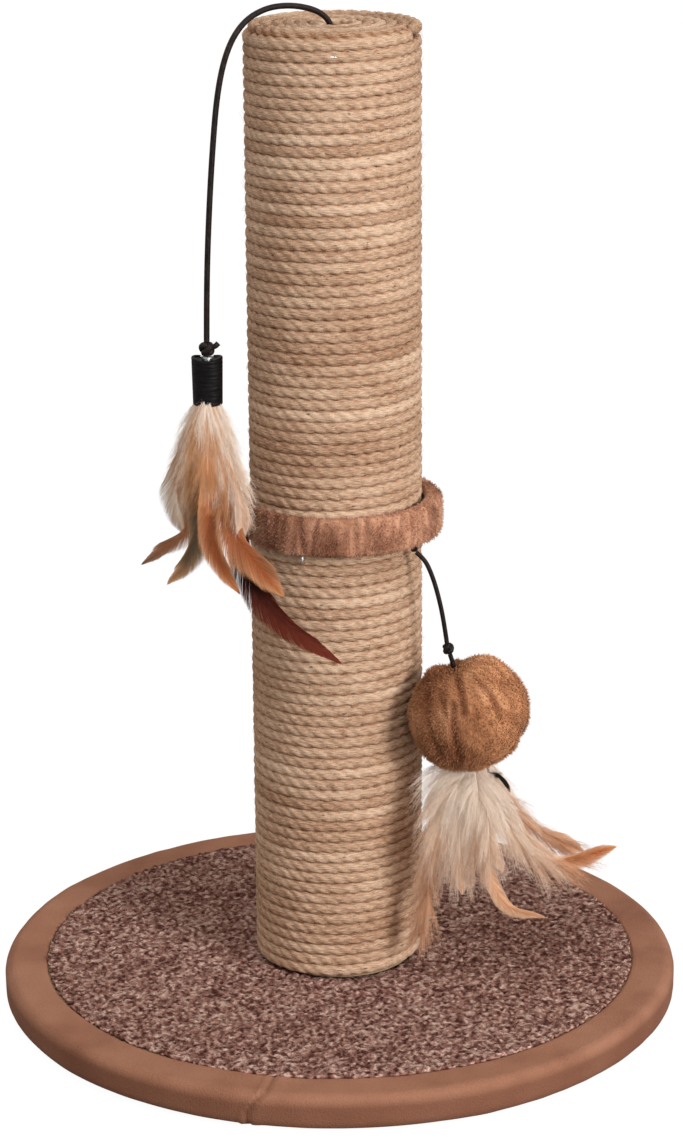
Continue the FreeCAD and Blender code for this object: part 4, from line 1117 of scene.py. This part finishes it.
# ------------------------------------------------------------------ feathers
# Dyed and natural hackles, fluffy at the quill and smooth towards the tip.  Their quills
# are glued into the black cap and into the foot of the ball, and they fan out from there.

GLOW_THROUGH = 0.15


def plume(name, edge_share, edge, *stops):
    """A feather's colours from the quill to its tip, with its edges turning another shade.

    Colours are given as a screen shows them, each stop with its place along the feather.
    Down lets light through, and its faint glow stands for that.
    """
    made = new_finish(name, roughness=0.8, specular_ior_level=0.1, sheen_weight=0.5,
                      emission_strength=GLOW_THROUGH)
    edge = colour(*edge)
    shader = made.node_tree.nodes["Principled BSDF"]
    shader.inputs["Sheen Tint"].default_value = edge
    spot = where(made)
    blot = cloud(made, spot, 0.004)
    place = weighed(made, (stored(made, "along"), 1.0), (blot, 0.16))
    place = sums(made, "SUBTRACT", place, 0.08)
    shade = ramp(made, place, *[(share, colour(*screen)) for share, *screen in stops])
    rim = weighed(made, (stored(made, "edge"), edge_share))
    shade = mixed(made, rim, shade, edge)
    tone = ramp(made, stored(made, "tone"), (0.0, (0.76, 0.72, 0.68, 1.0)),
                (1.0, (1.12, 1.12, 1.12, 1.0)))
    shade = mixed(made, 1.0, shade, tone, "MULTIPLY")
    made.node_tree.links.new(shade, shader.inputs["Emission Color"])
    return surfaced(made, shade)


def between(places, marks, rows):
    """Rows of numbers that stand at marks, read off at other places."""
    return np.stack([np.interp(places, marks, column) for column in rows.T], -1)


def through(points, count):
    """A smooth line through a few points, as evenly spaced points."""
    points = np.asarray(points, float)
    slopes = np.gradient(points, axis=0)
    place = np.linspace(0.0, len(points) - 1.0, 12 * count)
    first = np.minimum(place.astype(int), len(points) - 2)
    part = (place - first)[:, None]
    line = points[first] * (1.0 + 2.0 * part) * (1.0 - part) ** 2
    line += points[first + 1] * (3.0 - 2.0 * part) * part ** 2
    line += slopes[first] * part * (1.0 - part) ** 2
    line -= slopes[first + 1] * part ** 2 * (1.0 - part)
    run = run_along(line)
    return between(np.linspace(0.0, run[-1], count), run, line)


def barbs(draw, curve, facing, places, lengths, angles, half, curl, wander, fan, flatness, droop):
    """Barbs on both sides of a quill: their middle lines, and what a feather's mesh needs."""
    count = len(places)
    shares = np.linspace(0.0, 1.0, len(curve))
    run = run_along(curve)[-1]
    at = between(places, shares, curve)
    onward = between(places, shares, unit(np.gradient(curve, axis=0)))
    side = np.where(np.arange(count) % 2, 1.0, -1.0)[:, None]
    across = unit(np.cross(onward, facing))
    lift = np.cross(across, onward)
    lock = np.floor(places * run / LOCK_LENGTH + draw.uniform(0.0, 0.6, count)).astype(int)
    lock = 2 * np.maximum(lock, 0) + (side[:, 0] > 0.0)
    stray = draw.normal(0.0, 1.0, (lock.max() + 1, 4))[lock] + draw.normal(0.0, 0.35, (count, 4))
    turn = stray[:, 3:] * fan
    out = across * side * np.cos(turn) + lift * np.sin(turn)
    stray = stray[:, :3] * wander
    first = unit(onward * np.cos(angles)[:, None] + out * np.sin(angles)[:, None]
                 + lift * 0.1 + stray * 0.35)
    later = unit(onward + out * 0.06 + stray - UPRIGHT * droop)
    step = np.linspace(0.0, 1.0, BARB_POINTS)[None, :, None]
    reach = lengths[:, None, None]
    spines = at[:, None] + first[:, None] * reach * (step - curl * step ** 2)
    spines = spines + later[:, None] * reach * curl * step ** 2
    widths = half * np.linspace(1.0, 0.4, BARB_POINTS)[None] * draw.uniform(0.8, 1.2, (count, 1))
    points, faces = fibres(spines, np.broadcast_to(onward[:, None], spines.shape), widths, flatness)
    grown = np.concatenate([np.repeat(step[0, :-1, 0], FIBRE_SIDES), [1.0]])
    along = places[:, None] + grown * (lengths * np.cos(angles) / run)[:, None]
    edge = np.broadcast_to(grown ** 2, along.shape)
    shade = draw.random(count) * 0.6 + draw.random(lock.max() + 1)[lock] * 0.4
    return spines, (faces, points, along, edge, np.broadcast_to(shade[:, None], along.shape))


def hairs(draw, spines, places, facing, each):
    """Finer hairs that fluff out each barb of the down."""
    pick = np.repeat(np.arange(len(spines)), each)
    spot = draw.uniform(0.1, 0.98, len(pick)) * (spines.shape[1] - 1)
    low = np.minimum(spot.astype(int), spines.shape[1] - 2)
    part = (spot - low)[:, None]
    start = spines[pick, low] * (1.0 - part) + spines[pick, low + 1] * part
    run = unit(spines[pick, low + 1] - spines[pick, low]) + draw.normal(0.0, 0.5, start.shape)
    size = draw.uniform(*HAIR_LENGTHS, (len(pick), 1))
    lines = np.stack([start, start + run * size * 0.5, start + run * size], 1)
    points, faces = fibres(lines, np.broadcast_to(facing, lines.shape),
                           np.full((len(pick), 3), HAIR_THICK / 2.0))
    size = points.shape[:2]
    return (faces, points, np.broadcast_to(places[pick, None] + 0.05, size),
            np.full(size, 0.5), np.broadcast_to(draw.random((len(pick), 1)), size))


QUILL_POINTS, QUILL_SIDES = 61, 6
QUILL_RADII = (0.00055, 0.0001)
LOCK_LENGTH = 0.0022
BARB_POINTS = 6
DOWN_SPACING = 0.00007
DOWN_ANGLE = 0.42
DOWN_OUTLINE = ((0.0, 0.3, 0.7, 1.0), (0.85, 1.0, 0.9, 0.5))
LONGEST_BARB = 0.021
VANE_SPACING = 0.0001
VANE_REACH = 0.72
VANE_OUTLINE = ((0.0, 0.3, 0.6, 0.85, 1.0), (0.5, 0.9, 1.0, 0.6, 0.04))
VANE_ANGLES = (0.6, 0.42)
VANE_END = 0.985
DOWN_BARB = {"half": 0.00008, "curl": 0.45, "wander": 0.16, "fan": 0.6, "flatness": 0.8, "droop": 0.4}
VANE_BARB = {"half": 0.00015, "curl": 0.3, "wander": 0.012, "fan": 0.03, "flatness": 0.3, "droop": 0.0}
HAIR_THICK = 0.00006
HAIR_LENGTHS = (0.0009, 0.0026)
HAIRS_EACH = 7
FEATHERS_EACH = 8


def feather(name, body, slot, finish, root, facing, down, vane, route, seed, *nodes):
    """One feather: a quill along its route, down near its foot and a smooth vane to its tip.

    down is how far its fluff reaches on each side, the share of the quill that bears it
    and the angle at which it leaves the quill's foot.  vane is the smooth part's half width.
    """
    draw = np.random.default_rng(seed)
    down_width, down_share, down_angle = down
    curve = through(route, QUILL_POINTS)
    run = run_along(curve)[-1]
    stem = np.concatenate([[root], curve[::4]])
    thick = np.linspace(*QUILL_RADII, len(stem))
    rings = swept(stem, facing, circle(QUILL_SIDES)[None] * thick[:, None, None])
    size = rings.shape[:2]
    along = np.broadcast_to(np.linspace(-0.1, 1.0, len(stem))[:, None], size)
    parts = [((net(*size), end_faces(*size)), rings, along, np.zeros(size), np.full(size, 0.7))]

    places = np.sort(draw.uniform(0.004, down_share, int(down_share * run / DOWN_SPACING)))
    share = places / down_share
    full = np.interp(share, *DOWN_OUTLINE)
    angles = np.interp(share, (0.0, 0.6), (down_angle, DOWN_ANGLE))
    lengths = down_width * full / (0.55 * np.sin(angles) + 0.03)
    lengths = np.minimum(lengths, LONGEST_BARB) * draw.uniform(0.6, 1.1, len(share))
    angles += draw.normal(0.0, 0.08, len(share))
    spines, fluff = barbs(draw, curve, facing, places, lengths, angles, **DOWN_BARB)
    parts += [fluff, hairs(draw, spines, places, facing, HAIRS_EACH)]

    start = down_share * 0.85
    count = int((VANE_END - start) * run / VANE_SPACING)
    places = np.linspace(start, VANE_END, count) + draw.normal(0.0, 0.0005, count)
    share = (places - start) / (1.0 - start)
    angles = np.interp(share, (0.0, 1.0), VANE_ANGLES)
    ahead = np.cos(angles) / run / (1.0 - start)
    lengths = vane * np.interp(share, *VANE_OUTLINE) / np.sin(angles) / VANE_REACH
    for _ in range(4):
        full = np.interp(share + lengths * ahead, *VANE_OUTLINE)
        lengths = 0.5 * lengths + 0.5 * vane * full / np.sin(angles) / VANE_REACH
    lengths *= draw.uniform(0.94, 1.03, count)
    parts.append(barbs(draw, curve, facing, places, lengths, angles, **VANE_BARB)[1])

    faces, *values = zip(*parts)
    points, along, edge, tone = [np.concatenate([part.ravel() for part in value])
                                 for value in values]
    starts = np.cumsum([0] + [part.size // 3 for part in values[0]])
    groups = [group + start for start, own in zip(starts, faces) for group in own]
    piece = hold(shape(name, points, *groups), along=along, edge=edge, tone=tone)
    settle(piece, finish, body, slot, *nodes)


FEATHER_COLOURS = {
    "white": (0.5, (248, 240, 233), (0.0, 244, 232, 220), (0.5, 240, 224, 208),
              (0.8, 230, 200, 174), (1.0, 206, 160, 124)),
    "grey": (0.7, (196, 182, 170), (0.0, 240, 226, 210), (0.4, 226, 212, 198), (0.8, 212, 196, 180),
             (1.0, 204, 172, 144)),
    "peach": (0.5, (240, 214, 192), (0.0, 244, 226, 208), (0.35, 236, 202, 174),
              (0.7, 214, 168, 134), (1.0, 188, 132, 94)),
    "tan": (0.6, (206, 164, 132), (0.0, 240, 216, 192), (0.3, 206, 158, 112), (0.6, 158, 108, 76),
            (0.88, 142, 96, 70), (1.0, 82, 66, 56)),
    "olive": (0.95, (206, 168, 130), (0.0, 240, 214, 186), (0.26, 196, 144, 92),
              (0.5, 150, 104, 66), (0.62, 78, 72, 62), (0.84, 104, 88, 68), (1.0, 160, 112, 78)),
    "amber": (0.8, (212, 164, 124), (0.0, 244, 220, 196), (0.4, 214, 158, 112), (0.6, 140, 78, 48),
              (0.88, 148, 80, 44), (1.0, 172, 112, 72)),
    "tipped": (0.5, (236, 206, 180), (0.0, 246, 232, 218), (0.66, 236, 206, 180),
               (0.78, 196, 126, 70), (0.9, 180, 98, 42), (1.0, 198, 138, 90)),
    "brown": (0.35, (120, 54, 38), (0.0, 240, 214, 190), (0.28, 200, 156, 124), (0.38, 24, 12, 10),
              (0.61, 36, 17, 14), (0.74, 84, 35, 25), (1.0, 110, 50, 37)),
    "black": (0.5, (30, 26, 26), (0.0, 20, 17, 17), (1.0, 34, 30, 30)),
}
FEATHER_FINISH = {kind: plume("feather_" + kind, *colours)
                  for kind, colours in FEATHER_COLOURS.items()}
WAND_FEATHERS = (
    ("tan", "feather_amber", -112.0, (0.0060, 0.40, 0.25), 0.0042,
     ((-0.0565, -0.027, 0.2768), (-0.0640, -0.029, 0.2504), (-0.0618, -0.032, 0.2283),
      (-0.0731, -0.031, 0.2166), (-0.0832, -0.030, 0.2087))),
    ("olive", "feather_tan", -98.0, (0.0060, 0.34, 0.25), 0.0060,
     ((-0.0552, -0.030, 0.2776), (-0.0582, -0.038, 0.2523), (-0.0572, -0.042, 0.2290),
      (-0.0630, -0.041, 0.2136), (-0.0717, -0.040, 0.2030))),
    ("white", "feather_white", -90.0, (0.0060, 0.66, 0.25), 0.0040,
     ((-0.0540, -0.031, 0.2779), (-0.0531, -0.039, 0.2534), (-0.0527, -0.045, 0.2333),
      (-0.0527, -0.046, 0.2248))),
    ("amber", "feather_tan", -82.0, (0.0056, 0.40, 0.25), 0.0050,
     ((-0.0528, -0.030, 0.2776), (-0.0533, -0.042, 0.2539), (-0.0528, -0.050, 0.2301),
      (-0.0477, -0.0545, 0.2158), (-0.0401, -0.0555, 0.2033))),
    ("amber", "feather_amber", -70.0, (0.0064, 0.54, 0.25), 0.0074,
     ((-0.0516, -0.028, 0.2771), (-0.0462, -0.039, 0.2531), (-0.0439, -0.050, 0.2322),
      (-0.0344, -0.0565, 0.2182), (-0.0216, -0.0585, 0.2032))),
    ("brown", "feather_brown", -84.0, (0.0040, 0.22, 0.25), 0.0060,
     ((-0.0514, -0.026, 0.2766), (-0.0461, -0.036, 0.2478), (-0.0383, -0.0505, 0.2150),
      (-0.0238, -0.0545, 0.1921), (0.0027, -0.050, 0.1700))),
    ("grey", "feather_white", -112.0, (0.0060, 0.34, 0.3), 0.0062,
     ((-0.0575, -0.024, 0.2765), (-0.0621, -0.0265, 0.2597), (-0.0665, -0.028, 0.2454),
      (-0.0668, -0.029, 0.2328), (-0.0635, -0.029, 0.2204))),
    ("white", "feather_tan", -60.0, (0.0056, 0.80, 0.25), 0.0040,
     ((-0.0505, -0.025, 0.2763), (-0.0433, -0.0375, 0.2545), (-0.0397, -0.0475, 0.2384),
      (-0.0401, -0.0515, 0.2243))),
    ("white", "feather_white", -110.0, (0.0046, 0.95, 0.2), 0.0010,
     ((-0.0580, -0.0265, 0.2770), (-0.0600, -0.030, 0.2640), (-0.0614, -0.033, 0.2500),
      (-0.0610, -0.034, 0.2360))),
    ("peach", "feather_white", -95.0, (0.0040, 0.95, 0.2), 0.0010,
     ((-0.0555, -0.0295, 0.2770), (-0.0568, -0.034, 0.2640), (-0.0574, -0.037, 0.2510),
      (-0.0570, -0.038, 0.2400))),
    ("white", "feather_white", -82.0, (0.0044, 0.95, 0.2), 0.0010,
     ((-0.0515, -0.0295, 0.2770), (-0.0498, -0.035, 0.2643), (-0.0483, -0.0405, 0.2507),
      (-0.0468, -0.044, 0.2362))),
    ("white", "feather_white", -65.0, (0.0046, 0.95, 0.2), 0.0010,
     ((-0.0491, -0.028, 0.2774), (-0.0469, -0.032, 0.2648), (-0.0443, -0.0375, 0.2518),
      (-0.0426, -0.0435, 0.2393))),
)
BALL_FEATHERS = (
    ("peach", "feather_tan", -105.0, (0.0080, 0.94, 0.6), 0.0030,
     ((0.0539, -0.032, 0.1152), (0.0456, -0.037, 0.1029), (0.0405, -0.038, 0.0796),
      (0.0381, -0.038, 0.0556), (0.0348, -0.038, 0.0390))),
    ("white", "feather_white", -100.0, (0.0095, 0.90, 0.95), 0.0040,
     ((0.0539, -0.033, 0.1156), (0.0470, -0.040, 0.1060), (0.0440, -0.044, 0.0950),
      (0.0433, -0.046, 0.0800))),
    ("white", "feather_white", -90.0, (0.0120, 0.78, 0.85), 0.0040,
     ((0.0564, -0.034, 0.1160), (0.0536, -0.042, 0.1052), (0.0526, -0.048, 0.0844),
      (0.0534, -0.052, 0.0651))),
    ("white", "feather_white", -80.0, (0.0095, 0.78, 0.95), 0.0040,
     ((0.0599, -0.034, 0.1160), (0.0639, -0.044, 0.1059), (0.0653, -0.054, 0.0914),
      (0.0708, -0.058, 0.0782))),
    ("peach", "feather_tan", -78.0, (0.0070, 0.46, 0.7), 0.0034,
     ((0.0617, -0.032, 0.1152), (0.0619, -0.040, 0.0997), (0.0631, -0.045, 0.0808),
      (0.0723, -0.047, 0.0591), (0.0901, -0.048, 0.0523))),
    ("tipped", "feather_amber", -80.0, (0.0100, 0.74, 0.8), 0.0044,
     ((0.0636, -0.029, 0.1140), (0.0700, -0.031, 0.0965), (0.0790, -0.032, 0.0842),
      (0.0960, -0.032, 0.0730), (0.1219, -0.032, 0.0792))),
    ("peach", "feather_white", -40.0, (0.0090, 0.84, 0.7), 0.0046,
     ((0.0645, -0.027, 0.1133), (0.0731, -0.022, 0.0982), (0.0830, -0.017, 0.0842),
      (0.0950, -0.014, 0.0757), (0.1085, -0.014, 0.0697))),
    ("white", "feather_white", 90.0, (0.0130, 0.85, 0.9), 0.0040,
     ((0.0598, -0.025, 0.1125), (0.0580, -0.017, 0.0954), (0.0573, -0.012, 0.0792),
      (0.0561, -0.010, 0.0641))),
    ("white", "feather_white", -100.0, (0.0070, 0.95, 0.75), 0.0010,
     ((0.0500, -0.031, 0.1192), (0.0446, -0.034, 0.1150), (0.0424, -0.036, 0.1040),
      (0.0418, -0.038, 0.0830))),
    ("white", "feather_white", -90.0, (0.0110, 0.95, 1.2), 0.0010,
     ((0.0556, -0.036, 0.1166), (0.0510, -0.041, 0.1110), (0.0492, -0.043, 0.1000),
      (0.0488, -0.045, 0.0770))),
    ("white", "feather_white", -84.0, (0.0090, 0.95, 1.1), 0.0010,
     ((0.0590, -0.036, 0.1166), (0.0600, -0.044, 0.1110), (0.0598, -0.048, 0.0990),
      (0.0590, -0.051, 0.0780))),
    ("white", "feather_white", -80.0, (0.0100, 0.95, 0.9), 0.0010,
     ((0.0625, -0.032, 0.1150), (0.0690, -0.037, 0.1010), (0.0760, -0.039, 0.0880),
      (0.0900, -0.040, 0.0720))),
)
CURL_ROUTE = ((0.0655, -0.033, 0.1146), (0.0694, -0.035, 0.1136), (0.0727, -0.036, 0.1103),
              (0.0747, -0.036, 0.1062))


def bunch(label, body, feathers, root, seed):
    """A bunch of feathers, whose quills spread from a root deep in their holder."""
    for number, (kind, slot, facing, down, vane, route) in enumerate(feathers, start=1):
        inside = (np.array(route[0]) + root) / 2.0
        own = ["%s_feather_%d" % (label, number)] if number <= FEATHERS_EACH else []
        feather("%s_plume_%d" % (label, number), body, slot, FEATHER_FINISH[kind], root,
                polar(1.0, facing), down, vane, (inside, *route), seed + number, *own)


bunch("wand", "wand_toy", WAND_FEATHERS, WAND_PIVOT + (0.0, 0.0, -0.0124), 200)
bunch("ball", "ball", BALL_FEATHERS, BALL_MIDDLE - ball_up * 0.0120, 300)
feather("ball_curl", "ball", "feather_brown", FEATHER_FINISH["black"], CURL_ROUTE[0] + ball_up * 0.004,
        polar(1.0, -90.0), (0.0006, 0.2, 0.4), 0.0011, CURL_ROUTE, 320)


# ------------------------------------------------------------------ floor and lights
# A white floor that runs out of sight, a large soft lamp at the front right and above, a
# weaker one high in front, and warm even light from all round.

FLOOR_REACH = 9.0
FLOOR_WHITE = 0.8
FLOOR_GLOW = 1.2
AMBIENT = (0.44, 0.38, 0.33, 1.0)


def white_floor():
    """White to the eye, and pale where the shadow of the post falls."""
    made = bpy.data.materials.new("white_floor")
    made.use_nodes = True
    tree = made.node_tree
    tree.nodes.clear()
    pale = node(made, "BsdfDiffuse", {"Color": (0.45, 0.45, 0.45, 1.0)})
    glow = node(made, "Emission", {"Color": (1.0, 1.0, 1.0, 1.0), "Strength": FLOOR_GLOW})
    seen = sums(made, "MULTIPLY", node(made, "LightPath", {}).outputs["Is Camera Ray"], FLOOR_WHITE)
    both = node(made, "MixShader", {0: seen, 1: pale.outputs[0], 2: glow.outputs[0]})
    node(made, "OutputMaterial", {0: both.outputs[0]})
    return made


floor = shape("floor", [(-FLOOR_REACH, -FLOOR_REACH, 0.0), (FLOOR_REACH, -FLOOR_REACH, 0.0),
                        (FLOOR_REACH, FLOOR_REACH, 0.0), (-FLOOR_REACH, FLOOR_REACH, 0.0)],
              [(0, 1, 2, 3)])
floor.data.materials.append(white_floor())
floor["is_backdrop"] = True


def lamp(name, spot, aim, size, watts, tint):
    """A square soft lamp that points at the post."""
    made = bpy.data.objects.new(name, bpy.data.lights.new(name, "AREA"))
    made.data.size = size
    made.data.energy = watts
    made.data.color = tint
    away = unit(np.array(spot) - np.array(aim))
    side = unit(np.cross(UPRIGHT, away))
    turn = np.stack([side, np.cross(away, side), away], 1)
    made.matrix_world = Matrix.Translation(spot) @ Matrix(turn.tolist()).to_4x4()
    bpy.context.scene.collection.objects.link(made)


lamp("key_lamp", (2.9, -2.8, 1.5), (0.0, 0.0, 0.2), 1.3, 146.0, (1.0, 0.98, 0.96))
lamp("top_lamp", (-0.5, -1.8, 3.2), (0.0, 0.0, 0.1), 2.0, 40.0, (1.0, 0.99, 0.98))

world = bpy.data.worlds.new("studio")
world.use_nodes = True
bpy.context.scene.world = world
path = node(world, "LightPath", {})
shown = path.outputs["Is Camera Ray"]
for ray in ("Is Glossy Ray", "Is Transmission Ray"):
    shown = sums(world, "MAXIMUM", shown, path.outputs[ray])
level = mixed(world, shown, AMBIENT, (1.0, 1.0, 1.0, 1.0))
world.node_tree.links.new(level, world.node_tree.nodes["Background"].inputs["Color"])
bpy.context.scene.view_settings.view_transform = "Standard"


# ------------------------------------------------------------------ size
sizes = {"cad": CAD_BOX, "visual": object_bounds()}
sizes = {name: [[float(number) for number in corner] for corner in box]
         for name, box in sizes.items()}
